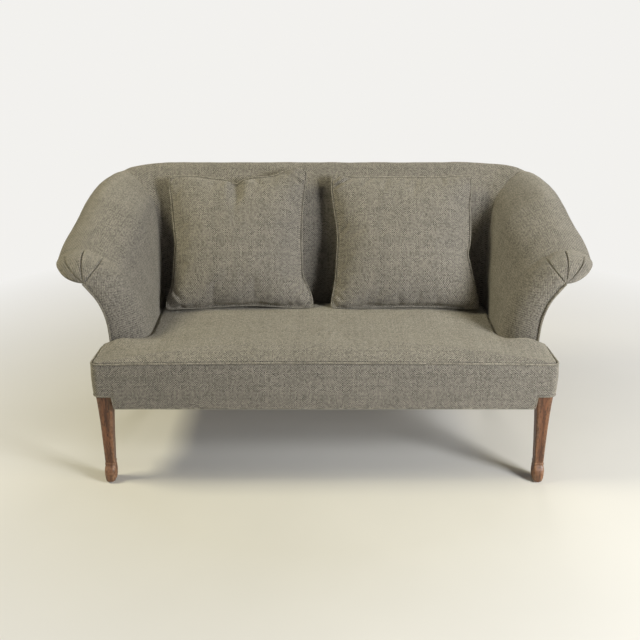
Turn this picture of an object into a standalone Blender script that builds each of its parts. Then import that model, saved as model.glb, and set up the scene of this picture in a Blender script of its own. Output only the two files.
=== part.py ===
"""Rolled arm sofa: a hardwood frame, a sprung tight seat, a tub back with flared rolled arms, two scatter pillows.

Metres, +Z up, front towards -Y, floor at Z = 0. The tub is drawn as sections in two axes: "out", measured
outwards from the line where the seat meets the back and arms, and "up", measured from the seat level.
"""
import math

import bmesh
import bpy
from mathutils import Matrix, Vector

# Fits
FIT = 0.0003                 # gap left between pieces that touch

# Seat
FRONT_Y = -0.3935            # front face of the border at its seams
SEAT_DEPTH = 0.5135          # from there to the inside face of the back at seat level
SEAT_LEVEL = 0.440           # height where the seat meets the arms
SEAT_EDGE_DROP = 0.0155      # how far the seat edge lies below that height at its seam
SEAT_CROWN = 0.027           # rise of the seat middle above its edge
SEAT_BUILD = 0.097           # depth of the padding between the seat level and the rails
CROWN_SET_IN = 0.1435        # distance from the front to the point that the seat rings close in on
EAR_LENGTH = 0.147           # length of the ears in front of the arms
EAR_GAP = 0.0015             # room between the ears and the arm fronts
EAR_OVERHANG = 0.025         # how far the ears stand out beside the arms where they end
EAR_SPLAY = 0.0095           # how much wider the ears are at the front
EAR_RETURN = 0.005           # how far beside the arm the border ends
EAR_FRONT_RADIUS = 0.018
EAR_BACK_RADIUS = 0.012
BORDER_THICK = 0.008
BORDER_SWELL = 0.0015        # how far the border bulges between its seams
BORDER_DROP = 0.0055         # how far the border reaches below the rails
LEG_NOTCH_HEIGHT = 0.038     # how far the border steps up over the front legs
LEG_MARGIN = 0.004           # room between a leg top and the step in the border
WELT_RADIUS = 0.0035
DECK_THICK = 0.002

# Tub plan
INSIDE_HALF_WIDTH = 0.566    # inside faces of the arms at seat level
CORNER_RADIUS = 0.050        # plan radius where back and arms meet inside
CORNER_POWER = 3.6           # squareness of the rear corners
NOSE_DEPTH = 0.105           # how far the padded arm front bows forward
NOSE_SWEEP = math.radians(84.0)
PAD_THICK = 0.028
HESSIAN_THICK = 0.002
PANEL_THICK = 0.006

# Tub sections as (out, up): belly, shoulder, crown, outermost, lobe bottom and notch of the roll
BACK_ROLL = [(0.062, 0.170), (0.135, 0.350), (0.222, 0.440), (0.275, 0.388), (0.254, 0.330), (0.196, 0.305)]
REAR_ROLL = [(0.012, 0.160), (0.048, 0.300), (0.174, 0.380), (0.238, 0.344), (0.228, 0.284), (0.174, 0.245)]
ARM_ROLL = [(0.040, 0.135), (0.118, 0.230), (0.203, 0.264), (0.283, 0.229), (0.254, 0.186), (0.177, 0.178)]

# Outside panels as (out, up), from just under the notch to the seat level
BACK_PANEL = [(0.202, 0.305), (0.174, 0.180), (0.158, 0.080), (0.150, 0.000)]
REAR_PANEL = [(0.180, 0.245), (0.142, 0.150), (0.120, 0.070), (0.112, 0.000)]
ARM_PANEL = [(0.183, 0.178), (0.140, 0.122), (0.119, 0.070), (0.112, 0.000)]

# Seat frame
RAIL_HEIGHT = 0.0705
FRONT_RAIL_THICK = 0.030
SIDE_RAIL_THICK = 0.050
BACK_RAIL_THICK = 0.045
BACK_RAIL_CLEAR = 0.009      # room between the back seat rail and the outside back
RAIL_CLEAR = 0.003           # room between the side rails and the rounded rear corners of the cover
STRETCHER_WIDTH = 0.040
STRETCHER_CLEAR = 0.016      # room between the stretcher and the spring ends
BLOCK_SIDE = 0.060
DUST_COVER_THICK = 0.0015
DUST_COVER_LAP = 0.018
POST_WIDTH = 0.030
BACK_POST_SET_IN = 0.086     # distance of the outer back posts from the rear corners
SPRING_COUNT = 6
SPRING_SET_IN = 0.056        # distance of the first and the last spring from the arms
SPRING_WIRE_RADIUS = 0.0020
SPRING_HALF_WIDTH = 0.024
SPRING_WAVES = 7
SPRING_DROP = 0.012          # how far the spring ends lie below the top of the rails
SPRING_ARCH = 0.006

# Legs
FRONT_LEG_TOP = 0.048
FRONT_LEG_CLEAR = 0.0005     # room between a front leg and the border in front of it
FRONT_LEG_SIDE_CLEAR = 0.0055
FRONT_FOOT_SPLAY = 0.008     # how far a front foot stands out from the leg top
FRONT_ANKLE_SET_BACK = 0.014
FRONT_TOE_PROUD = 0.001
ANKLE_WIDTH = 0.026
ANKLE_DEPTH = 0.036
ANKLE_Z = 0.066
BEAD_HEIGHT = 0.007
BEAD_PROUD = 0.003
FOOT_WIDTH = 0.031
FOOT_DEPTH = 0.054
REAR_LEG_REACH = 0.069       # outer face of a rear leg beyond the inside of the arm
REAR_LEG_SET_IN = 0.020      # rear face of a rear leg in front of the back rail's
REAR_LEG_TOP = 0.045
REAR_LEG_FOOT = 0.028
REAR_LEG_RAKE = 0.070
REAR_LEG_STRAIGHT = 0.0105   # how far below the rails the rear legs stay upright
GLIDE_RADIUS = 0.010
GLIDE_HEIGHT = 0.004

# Scatter pillows
PILLOW_HALF = 0.2455
PILLOW_HALF_HEIGHT = 0.231
PILLOW_DRAW_IN = 0.017
PILLOW_CROWN = 0.080         # swell of a pillow's front
PILLOW_BACK_CROWN = 0.056    # swell of its pressed rear face
PILLOW_EDGE = 0.0015
PIPING_RADIUS = 0.0035
PILLOW_LEAN = math.radians(28.5)
LEFT_PILLOW_SHARE = 19.0 / 33.0   # share of the free width on the inner side of the left pillow
RIGHT_PILLOW_SHARE = 1.0 / 3.0
PILLOW_BACK_GAP = 0.002      # room between a pillow's crown and the back
PILLOW_CHOP = 0.016          # dip in the top edge of the left pillow

# Facets
SPAN_STEPS = (1, 3, 4, 3, 3, 2, 2)
CORNER_STEPS = 5             # stations in half of a rear corner
ARM_STEPS = 3                # stations between the two posts of an arm
NOSE_STEPS = 6
PILLOW_STEPS = 14

SEAT_EDGE_Z = SEAT_LEVEL - SEAT_EDGE_DROP
RAIL_TOP_Z = SEAT_LEVEL - SEAT_BUILD
RAIL_BOTTOM_Z = RAIL_TOP_Z - RAIL_HEIGHT
BORDER_BOTTOM_Z = RAIL_BOTTOM_Z - BORDER_DROP
LEG_NOTCH_Z = BORDER_BOTTOM_Z + LEG_NOTCH_HEIGHT
SPRING_END_Z = RAIL_TOP_Z - SPRING_DROP
STRETCHER_TOP_Z = SPRING_END_Z - STRETCHER_CLEAR
REAR_LEG_STRAIGHT_Z = RAIL_BOTTOM_Z - REAR_LEG_STRAIGHT
ARM_SEAM_X = INSIDE_HALF_WIDTH + ARM_PANEL[-1][0]
EAR_BACK_HALF_WIDTH = ARM_SEAM_X + EAR_OVERHANG
EAR_HALF_WIDTH = EAR_BACK_HALF_WIDTH + EAR_SPLAY
EAR_RETURN_X = ARM_SEAM_X + EAR_RETURN
EAR_BACK_Y = FRONT_Y + EAR_LENGTH
ARM_FRONT_Y = EAR_BACK_Y + EAR_GAP + NOSE_DEPTH       # station where the padded arm front begins
INSIDE_BACK_Y = FRONT_Y + SEAT_DEPTH
CROWN_CENTER_Y = FRONT_Y + CROWN_SET_IN
FRONT_LEG_FACE_Y = FRONT_Y + BORDER_THICK + FRONT_LEG_CLEAR
FRONT_LEG_X = EAR_HALF_WIDTH - BORDER_THICK - FRONT_LEG_SIDE_CLEAR - FRONT_LEG_TOP / 2.0
BACK_RAIL_Y = INSIDE_BACK_Y + BACK_PANEL[-1][0] - PANEL_THICK - BACK_RAIL_CLEAR
REAR_LEG_X = INSIDE_HALF_WIDTH + REAR_LEG_REACH - REAR_LEG_TOP / 2.0
REAR_LEG_Y = BACK_RAIL_Y - REAR_LEG_SET_IN - REAR_LEG_TOP / 2.0
CORNER_X = INSIDE_HALF_WIDTH - CORNER_RADIUS
CORNER_Y = INSIDE_BACK_Y - CORNER_RADIUS
BACK_POST_X = CORNER_X - BACK_POST_SET_IN
SPRING_SPAN = 2.0 * (INSIDE_HALF_WIDTH - SPRING_SET_IN)
PILLOW_REACH = PILLOW_HALF + 2.0 * PIPING_RADIUS + FIT
PILLOW_ROOM = INSIDE_HALF_WIDTH - 2.0 * PILLOW_REACH
LEFT_PILLOW_X = -(PILLOW_REACH + LEFT_PILLOW_SHARE * PILLOW_ROOM)
RIGHT_PILLOW_X = PILLOW_REACH + RIGHT_PILLOW_SHARE * PILLOW_ROOM
ARM_RUN = CORNER_Y - ARM_FRONT_Y
POST_STEP = POST_WIDTH / ARM_RUN
TUCK = RAIL_TOP_Z + FIT - SEAT_LEVEL
PANEL_FOOT = BORDER_BOTTOM_Z - SEAT_LEVEL
SHOULDER = sum(SPAN_STEPS[:3])
NOSE_ANGLES = [NOSE_SWEEP * k / NOSE_STEPS for k in range(NOSE_STEPS + 1)]
FRONT_LEG_INNER_X = FRONT_LEG_X - FRONT_LEG_TOP / 2
FRONT_LEG_BACK_Y = FRONT_LEG_FACE_Y + FRONT_LEG_TOP
REAR_LEG_INNER_X = REAR_LEG_X - REAR_LEG_TOP / 2
REAR_LEG_FRONT_Y = REAR_LEG_Y - REAR_LEG_TOP / 2
PANEL_REACH_X = CORNER_RADIUS + ARM_PANEL[-1][0] - PANEL_THICK
PANEL_REACH_Y = CORNER_RADIUS + BACK_PANEL[-1][0] - PANEL_THICK
PANEL_BEND = ((REAR_LEG_FRONT_Y - CORNER_Y) / PANEL_REACH_Y) ** CORNER_POWER
SIDE_RAIL_OUTER_X = CORNER_X + PANEL_REACH_X * (1.0 - PANEL_BEND) ** (1.0 / CORNER_POWER) - RAIL_CLEAR
SIDE_RAIL_INNER_X = SIDE_RAIL_OUTER_X - SIDE_RAIL_THICK
FRONT_RAIL_BACK_Y = FRONT_LEG_FACE_Y + FRONT_RAIL_THICK
BACK_RAIL_FRONT_Y = BACK_RAIL_Y - BACK_RAIL_THICK

TWEED = ("tweed", (0.215, 0.198, 0.160), 0.95)
WELT_TWEED = ("welt_tweed", (0.170, 0.155, 0.125), 0.95)
WALNUT = ("walnut", (0.120, 0.062, 0.034), 0.45)
BEECH = ("beech", (0.520, 0.360, 0.210), 0.65)
HESSIAN = ("hessian", (0.430, 0.330, 0.200), 0.95)
BLACK_CLOTH = ("black_cloth", (0.020, 0.020, 0.020), 0.95)
SPRING_STEEL = ("spring_steel", (0.360, 0.360, 0.370), 0.35)
NYLON = ("nylon", (0.060, 0.055, 0.050), 0.40)


def clear_scene():
    """Remove every object of the scene that the script starts in."""
    for item in list(bpy.data.objects):
        bpy.data.objects.remove(item, do_unlink=True)


def finish_material(finish):
    """Return the named Principled material, made on its first use."""
    name, colour, roughness = finish
    material = bpy.data.materials.get(name)
    if material is None:
        material = bpy.data.materials.new(name)
        material.use_nodes = True
        shader = material.node_tree.nodes["Principled BSDF"]
        shader.inputs["Base Color"].default_value = (*colour, 1.0)
        shader.inputs["Roughness"].default_value = roughness
        shader.inputs["Metallic"].default_value = 1.0 if finish is SPRING_STEEL else 0.0
    return material


def add_piece(name, bm, finish, parent, place=None):
    """Turn a bmesh into a named object with outward faces, a material and a parent."""
    bmesh.ops.recalc_face_normals(bm, faces=bm.faces[:])
    mesh = bpy.data.meshes.new(name)
    bm.to_mesh(mesh)
    bm.free()
    mesh.shade_smooth()
    mesh.set_sharp_from_angle(angle=math.radians(40.0))
    mesh.materials.append(finish_material(finish))
    piece = bpy.data.objects.new(name, mesh)
    bpy.context.scene.collection.objects.link(piece)
    piece.parent = parent
    if place is not None:
        piece.matrix_local = place
    return piece


def rings_solid(rings, closed_loop=False):
    """Skin closed rings of equal count; the ends are capped unless the rings themselves form a loop."""
    bm = bmesh.new()
    rows = [[bm.verts.new(point) for point in ring] for ring in rings]
    count = len(rows[0])
    pairs = list(zip(rows, rows[1:]))
    if closed_loop:
        pairs.append((rows[-1], rows[0]))
    for low, high in pairs:
        for i in range(count):
            j = (i + 1) % count
            bm.faces.new((low[i], low[j], high[j], high[i]))
    if not closed_loop:
        bm.faces.new(rows[0][::-1])
        bm.faces.new(rows[-1])
    return bm


def fan_ends(bm):
    """Replace the many-sided end faces of a loft, which may be warped, by fans round their middles."""
    ends = [face for face in bm.faces if len(face.verts) > 4]
    bmesh.ops.poke(bm, faces=ends, center_mode="MEAN")
    return bm


def band_solid(outer_rows, inner_rows):
    """Close the space between two grids of points into one padded band."""
    bm = bmesh.new()
    outer = [[bm.verts.new(point) for point in row] for row in outer_rows]
    inner = [[bm.verts.new(point) for point in row] for row in inner_rows]
    last_row = len(outer) - 1
    last = len(outer[0]) - 1
    for r in range(last_row):
        for c in range(last):
            bm.faces.new((outer[r][c], outer[r][c + 1], outer[r + 1][c + 1], outer[r + 1][c]))
            bm.faces.new((inner[r][c], inner[r + 1][c], inner[r + 1][c + 1], inner[r][c + 1]))
        for c in (0, last):
            bm.faces.new((outer[r][c], outer[r + 1][c], inner[r + 1][c], inner[r][c]))
    for c in range(last):
        for r in (0, last_row):
            bm.faces.new((outer[r][c], outer[r][c + 1], inner[r][c + 1], inner[r][c]))
    return bm


def prism(outline, bottom, top):
    """Raise a plan outline into an upright block."""
    return rings_solid([[(x, y, z) for x, y in outline] for z in (bottom, top)])


def box(x0, x1, y0, y1, z0, z1):
    """Make a rectangular block between two corners."""
    return prism([(x0, y0), (x1, y0), (x1, y1), (x0, y1)], z0, z1)


def tube(path, radius, sides, closed=False, up=Vector((0.0, 0.0, 1.0))):
    """Sweep a round section along a path, turning it no more than the path itself turns."""
    points = [Vector(p) for p in path]
    count = len(points)
    rings = []
    normal = up
    previous = None
    for i, point in enumerate(points):
        before = points[i - 1] if closed or i else point
        after = points[(i + 1) % count] if closed or i < count - 1 else point
        along = (after - before).normalized()
        if previous is not None:
            normal = previous.rotation_difference(along) @ normal
        previous = along
        across = along.cross(normal).normalized()
        normal = across.cross(along)
        ring = []
        for k in range(sides):
            angle = math.tau * (k + 0.5) / sides
            ring.append(point + radius * (math.cos(angle) * across + math.sin(angle) * normal))
        rings.append(ring)
    return rings_solid(rings, closed_loop=closed)


def smooth(points, steps):
    """Pass a smooth curve through section points, with a set number of steps in each span."""
    keys = [Vector(p) for p in points]
    reach = [math.sqrt((b - a).length) for a, b in zip(keys, keys[1:])]
    slopes = []
    for i in range(len(keys)):
        if i == 0:
            slopes.append((keys[1] - keys[0]) / reach[0])
        elif i == len(keys) - 1:
            slopes.append((keys[-1] - keys[-2]) / reach[-1])
        else:
            lower = (keys[i] - keys[i - 1]) / reach[i - 1]
            upper = (keys[i + 1] - keys[i]) / reach[i]
            slopes.append((lower * reach[i] + upper * reach[i - 1]) / (reach[i] + reach[i - 1]))
    curve = [keys[0]]
    for i, count in enumerate(steps):
        for k in range(1, count + 1):
            s = k / count
            rise = s * s * (3.0 - 2.0 * s)
            leave = s * (1.0 - s) ** 2 * reach[i]
            arrive = s * s * (s - 1.0) * reach[i]
            curve.append(keys[i].lerp(keys[i + 1], rise) + leave * slopes[i] + arrive * slopes[i + 1])
    return curve


def inset(curve, depth):
    """Move a section curve by a depth towards the hollow of the tub; a curve that starts downwards stays level."""
    if depth == 0.0:
        return curve
    moved = []
    for i, point in enumerate(curve):
        along = curve[min(i + 1, len(curve) - 1)] - curve[max(i - 1, 0)]
        moved.append(point + depth * Vector((along.y, -along.x)).normalized())
    if curve[1].y < curve[0].y:
        moved[0].y = curve[0].y
    return moved


def roll_curve(roll, steps=SPAN_STEPS):
    """Section of the padding: up from the seat frame, over the roll and in to the notch below it."""
    return smooth([(0.0, TUCK), (0.0, 0.0)] + roll, steps)


def panel_curve(panel):
    """Section of the outside cover: from just under the notch down to the foot of the border."""
    top_out, top_up = panel[0]
    return smooth([(top_out, top_up - FIT)] + panel[1:] + [(panel[-1][0], PANEL_FOOT)], (2, 2, 1, 1))


BACK_CURVES = (roll_curve(BACK_ROLL), panel_curve(BACK_PANEL))
REAR_CURVES = (roll_curve(REAR_ROLL), panel_curve(REAR_PANEL))
ARM_CURVES = (roll_curve(ARM_ROLL), panel_curve(ARM_PANEL))
PADDING, PANEL = 0, 1


def tub_row(layer, depth, t, side=1):
    """Points of one tub section: t is 0 at the back centre, 1 to 2 round the corner and 3 at the arm front."""
    back = BACK_CURVES[layer]
    rear = REAR_CURVES[layer]
    arm = ARM_CURVES[layer]
    if t <= 1.0:
        return [Vector((side * t * CORNER_X, INSIDE_BACK_Y + p.x, SEAT_LEVEL + p.y)) for p in inset(back, depth)]
    if t >= 2.0:
        share = min(t - 2.0, 1.0)
        section = inset([a.lerp(b, share) for a, b in zip(rear, arm)], depth)
        y = CORNER_Y - (t - 2.0) * ARM_RUN
        return [Vector((side * (INSIDE_HALF_WIDTH + p.x), y, SEAT_LEVEL + p.y)) for p in section]
    angle = (t - 1.0) * math.pi / 2.0
    sine, cosine = math.sin(angle), math.cos(angle)
    stretch = (sine ** CORNER_POWER + cosine ** CORNER_POWER) ** (-1.0 / CORNER_POWER)
    fall = (t - 1.0) ** 2
    row = []
    for b, r in zip(inset(back, depth), inset(rear, depth)):
        x = CORNER_X + (CORNER_RADIUS + r.x) * stretch * sine
        y = CORNER_Y + (CORNER_RADIUS + b.x) * stretch * cosine
        row.append(Vector((side * x, y, SEAT_LEVEL + b.y + (r.y - b.y) * fall)))
    return row


def arm_station(y):
    """Station number of a place along the arm."""
    return 2.0 + (CORNER_Y - y) / ARM_RUN


SEAM = FIT / CORNER_RADIUS / math.pi      # half of the gap where back and arms are joined


def back_stations():
    """Stations across the whole back, from one mid corner to the other, as (t, side)."""
    half = [0.5, 1.0] + [1.0 + (0.5 - SEAM) * k / CORNER_STEPS for k in range(1, CORNER_STEPS + 1)]
    return [(t, -1) for t in reversed(half)] + [(0.0, 1)] + [(t, 1) for t in half]


def arm_stations(side):
    """Stations from the mid corner along one arm to its stump, with one at each face of its two posts."""
    turn = [1.5 + SEAM + (0.5 - SEAM) * k / CORNER_STEPS for k in range(CORNER_STEPS)]
    clear = 1.0 - 2.0 * POST_STEP
    run = [2.0] + [2.0 + POST_STEP + clear * k / ARM_STEPS for k in range(ARM_STEPS + 1)] + [3.0]
    return [(t, side) for t in turn + run]


def tub_band(layer, depth, thick, stations, first=0, last=None):
    """Make a band of the tub between two depths."""
    outer = [tub_row(layer, depth, t, side)[first:last] for t, side in stations]
    inner = [tub_row(layer, depth + thick, t, side)[first:last] for t, side in stations]
    return band_solid(outer, inner)


def roll_core(stations):
    """Make the shaped rail that fills the roll inside its padding."""
    return fan_ends(rings_solid([tub_row(PADDING, PAD_THICK + FIT, t, side)[SHOULDER:] for t, side in stations]))


def post(stations):
    """Make an upright cut to the tub's section, from the seat rails to the underside of the roll's rail."""
    rings = []
    for t, side in stations:
        core = tub_row(PADDING, PAD_THICK + FIT, t, side)
        front_edge = tub_row(PADDING, PAD_THICK + HESSIAN_THICK + 2.0 * FIT, t, side)[:SHOULDER]
        back_edge = tub_row(PANEL, PANEL_THICK + FIT, t, side)[1:-1]
        down = Vector((0.0, 0.0, FIT))
        seat = RAIL_TOP_Z + FIT
        foot = back_edge[-1].copy()
        foot.z = seat
        shelf = core[SHOULDER].lerp(core[-1], 0.06) - 2.0 * down
        corner = core[SHOULDER].lerp(core[-1], 0.94) - 2.0 * down
        front_edge[0].z = seat
        rings.append(front_edge + [shelf, corner] + back_edge + [foot])
    return rings_solid(rings)


def nose_ring(side, angle):
    """One upright slice of the padded arm front; its dome closes in on the outer seam and the notch."""
    face = ARM_CURVES[PADDING]
    seam = inset(ARM_CURVES[PANEL], PANEL_THICK + FIT)
    top = seam[0]
    foot_up = TUCK
    y = ARM_FRONT_Y - FIT - (NOSE_DEPTH - FIT) * math.sin(angle)
    ring = []
    for i, p in enumerate(face):
        up = foot_up + (top.y - foot_up) * min(i / SHOULDER, 1.0)
        anchor = seam_at(seam, up)
        at = anchor + (p - anchor) * math.cos(angle)
        ring.append(Vector((side * (INSIDE_HALF_WIDTH + at.x), y, SEAT_LEVEL + at.y)))
    for p in seam[1:-2] + [seam_at(seam, 0.0), seam_at(seam, foot_up)]:
        ring.append(Vector((side * (INSIDE_HALF_WIDTH + p.x), y, SEAT_LEVEL + p.y)))
    return ring


def seam_at(seam, up):
    """Point of the outer seam at a given height above the seat level."""
    for upper, lower in zip(seam, seam[1:]):
        if up >= lower.y:
            share = (upper.y - up) / (upper.y - lower.y)
            return upper.lerp(lower, max(share, 0.0))
    return seam[-1]


def corner_arc(before, corner, after, radius, steps):
    """Points of a fillet that rounds one plan corner."""
    corner = Vector(corner)
    first = (Vector(before) - corner).normalized()
    second = (Vector(after) - corner).normalized()
    half = first.angle(second) / 2.0
    center = corner + (first + second).normalized() * radius / math.sin(half)
    start = corner + first * radius / math.tan(half) - center
    end = corner + second * radius / math.tan(half) - center
    return [center + start.lerp(end, k / steps).normalized() * radius for k in range(steps + 1)]


LEG_NOTCH_X = FRONT_LEG_INNER_X - LEG_MARGIN
LEG_NOTCH_Y = FRONT_LEG_BACK_Y + LEG_MARGIN
STEP = 0.0005                # half width of the slope at each side of a leg notch


def ear_path(depth):
    """Right half of the border in plan, from the front centre round the ear to the arm, moved in by a depth."""
    front = Vector((EAR_HALF_WIDTH, FRONT_Y))
    back = Vector((EAR_BACK_HALF_WIDTH, EAR_BACK_Y))
    end = Vector((EAR_RETURN_X, EAR_BACK_Y))
    path = [Vector((0.0, FRONT_Y)), Vector((LEG_NOTCH_X - STEP, FRONT_Y)), Vector((LEG_NOTCH_X + STEP, FRONT_Y))]
    path += corner_arc((0.0, FRONT_Y), front, back, EAR_FRONT_RADIUS, 5)
    for y in (LEG_NOTCH_Y - STEP, LEG_NOTCH_Y + STEP):
        path.append(front.lerp(back, (y - FRONT_Y) / (EAR_BACK_Y - FRONT_Y)))
    path += corner_arc(front, back, end, EAR_BACK_RADIUS, 4)
    path.append(end)
    moved = []
    for i, point in enumerate(path):
        along = (path[min(i + 1, len(path) - 1)] - path[max(i - 1, 0)]).normalized()
        moved.append(point + depth * Vector((-along.y, along.x)))
    return moved


def mirrored(half):
    """Complete a plan path that starts on the centre line, from its left end to its right end."""
    return [Vector((-p.x, p.y)) for p in reversed(half[1:])] + half


def over_leg(point):
    """Tell whether a point of the border lies over a front leg."""
    return abs(point.x) > LEG_NOTCH_X and point.y < LEG_NOTCH_Y


def seat_outline():
    """T-shaped plan of the seat, clear of the border, the arm fronts, the arms and the back."""
    gap = 2.0 * FIT
    half = ear_path(BORDER_THICK + FIT)
    seam_x = INSIDE_HALF_WIDTH + ARM_PANEL[-1][0] - PANEL_THICK - FIT
    nose_width = seam_x - INSIDE_HALF_WIDTH
    for angle in [math.pi / 2.0] + NOSE_ANGLES[::-1]:
        x = seam_x - (nose_width + gap) * math.cos(angle)
        half.append(Vector((x, ARM_FRONT_Y - (NOSE_DEPTH + gap) * math.sin(angle))))
    for k in range(CORNER_STEPS + 1):
        angle = math.pi / 2.0 * (1.0 - k / CORNER_STEPS)
        sine, cosine = math.sin(angle), math.cos(angle)
        stretch = (sine ** CORNER_POWER + cosine ** CORNER_POWER) ** (-1.0 / CORNER_POWER)
        reach = (CORNER_RADIUS - gap) * stretch
        half.append(Vector((CORNER_X + reach * sine, CORNER_Y + reach * cosine)))
    half.append(Vector((0.0, INSIDE_BACK_Y - gap)))
    return half + [Vector((-p.x, p.y)) for p in reversed(half[1:-1])]


def build_seat(root):
    """Make the deck, the crowned seat, its border, its welts and the dust cover."""
    outline = seat_outline()
    deck_z = RAIL_TOP_Z + FIT
    add_piece("seat_hessian", prism(outline, deck_z, deck_z + DECK_THICK), HESSIAN, root)
    center = Vector((0.0, CROWN_CENTER_Y))
    rings = [[(p.x, p.y, deck_z + DECK_THICK + FIT) for p in outline]]
    for share in (1.0, 0.97, 0.9, 0.76, 0.62, 0.42, 0.2):
        rings.append([(*center.lerp(p, share), seat_rise(share)) for p in outline])
    add_piece("seat_pad", rings_solid(rings), TWEED, root)

    top_z = SEAT_EDGE_Z - WELT_RADIUS * 2.0 - 2.0 * FIT
    outer = mirrored(ear_path(0.0))
    swell = mirrored(ear_path(-BORDER_SWELL))
    inner = mirrored(ear_path(BORDER_THICK))
    faces = []
    backs = []
    for o, s, i in zip(outer, swell, inner):
        low = LEG_NOTCH_Z if over_leg(o) else BORDER_BOTTOM_Z
        middle = (low + top_z) / 2.0
        faces.append([(o.x, o.y, low), (s.x, s.y, middle), (o.x, o.y, top_z)])
        backs.append([(i.x, i.y, low), (i.x, i.y, middle), (i.x, i.y, top_z)])
    add_piece("front_border", band_solid(faces, backs), TWEED, root)

    middle = ear_path(BORDER_THICK / 2.0)
    top_path = [(p.x, p.y, top_z + WELT_RADIUS + FIT) for p in mirrored(middle)]
    add_piece("seat_top_welt", tube(top_path, WELT_RADIUS, 6), WELT_TWEED, root)
    add_piece("seat_bottom_welt", tube(bottom_welt_path(middle), WELT_RADIUS, 6), WELT_TWEED, root)


def bottom_welt_path(middle):
    """Path of the welt under the border, which steps up round the top of each front leg."""
    below = WELT_RADIUS + FIT
    low, high = BORDER_BOTTOM_Z - below, LEG_NOTCH_Z - below
    half = [(middle[0], low)]
    for before, after in zip(middle, middle[1:]):
        if over_leg(before) != over_leg(after):
            inner = after if over_leg(after) else before
            along = (after - before).normalized()
            at = inner + along * (below if over_leg(after) else -below)
            levels = (low, high) if over_leg(after) else (high, low)
            half += [(at, z) for z in levels]
        elif over_leg(after) or after.y > LEG_NOTCH_Y + STEP:
            half.append((after, high if over_leg(after) else low))
    path = [Vector((p.x, p.y, z)) for p, z in half]
    return [Vector((-p.x, p.y, p.z)) for p in reversed(path[1:])] + path


def build_seat_frame(root):
    """Make the rails, corner blocks, stretcher, springs and dust cover."""
    low, high = RAIL_BOTTOM_Z, RAIL_TOP_Z
    front_end = FRONT_LEG_INNER_X - FIT
    add_piece("front_seat_rail", box(-front_end, front_end, FRONT_LEG_FACE_Y, FRONT_RAIL_BACK_Y, low, high),
              BEECH, root)
    back_end = REAR_LEG_INNER_X - FIT
    add_piece("back_seat_rail", box(-back_end, back_end, BACK_RAIL_FRONT_Y, BACK_RAIL_Y, low, high), BEECH, root)
    add_piece("seat_stretcher", box(-STRETCHER_WIDTH / 2.0, STRETCHER_WIDTH / 2.0, FRONT_RAIL_BACK_Y + FIT,
                                    BACK_RAIL_FRONT_Y - FIT, low, STRETCHER_TOP_Z), BEECH, root)
    for name, side in (("left", -1), ("right", 1)):
        x0, x1 = sorted((side * SIDE_RAIL_INNER_X, side * SIDE_RAIL_OUTER_X))
        add_piece(name + "_side_rail", box(x0, x1, FRONT_LEG_BACK_Y + FIT, REAR_LEG_FRONT_Y - FIT, low, high),
                  BEECH, root)
        for place, x, y, turn in (("front", SIDE_RAIL_INNER_X - FIT, FRONT_RAIL_BACK_Y + FIT, 1),
                                  ("rear", REAR_LEG_INNER_X - FIT, BACK_RAIL_FRONT_Y - FIT, -1)):
            corners = [(side * x, y), (side * (x - BLOCK_SIDE), y), (side * x, y + turn * BLOCK_SIDE)]
            add_piece(name + "_" + place + "_corner_block", prism(corners, low, high - BLOCK_SIDE / 4.0), BEECH, root)

    start, end = FRONT_RAIL_BACK_Y + FIT, BACK_RAIL_FRONT_Y - FIT
    for k in range(SPRING_COUNT):
        x = SPRING_SPAN * (k / (SPRING_COUNT - 1) - 0.5)
        path = spring_path(x, start, end)
        add_piece("seat_spring_%d" % (k + 1), tube(path, SPRING_WIRE_RADIUS, 4), SPRING_STEEL, root)

    lap_x = SIDE_RAIL_INNER_X + DUST_COVER_LAP
    back_x = REAR_LEG_INNER_X - DUST_COVER_LAP / 2.0
    leg_y = REAR_LEG_FRONT_Y - DUST_COVER_LAP / 2.0
    half = [(lap_x, FRONT_RAIL_BACK_Y - DUST_COVER_LAP), (lap_x, leg_y), (back_x, leg_y),
            (back_x, BACK_RAIL_FRONT_Y + DUST_COVER_LAP)]
    outline = half + [(-x, y) for x, y in reversed(half)]
    add_piece("dust_cover", prism(outline, low - FIT - DUST_COVER_THICK, low - FIT), BLACK_CLOTH, root)


def spring_path(x, start, end):
    """Centre line of one flat zigzag spring, arched a little between the front and back rails."""
    steps = SPRING_WAVES * 6
    path = []
    for k in range(steps + 1):
        share = k / steps
        swing = SPRING_HALF_WIDTH * math.sin(math.tau * SPRING_WAVES * share)
        from_end = min(share, 1.0 - share) * steps
        swing *= min(max(from_end - 1.0, 0.0), 1.0)
        path.append((x + swing, start + (end - start) * share, SPRING_END_Z + SPRING_ARCH * math.sin(math.pi * share)))
    return path


def leg_ring(x, front_y, width, depth, z, corner_power=6.0, points=16):
    """Rounded square section of a leg, given by its front face and centre."""
    ring = []
    for k in range(points):
        angle = math.tau * (k + 0.5) / points
        sine, cosine = math.sin(angle), math.cos(angle)
        reach = (abs(sine) ** corner_power + abs(cosine) ** corner_power) ** (-1.0 / corner_power)
        ring.append((x + cosine * reach * width / 2.0, front_y + depth / 2.0 + sine * reach * depth / 2.0, z))
    return ring


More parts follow.
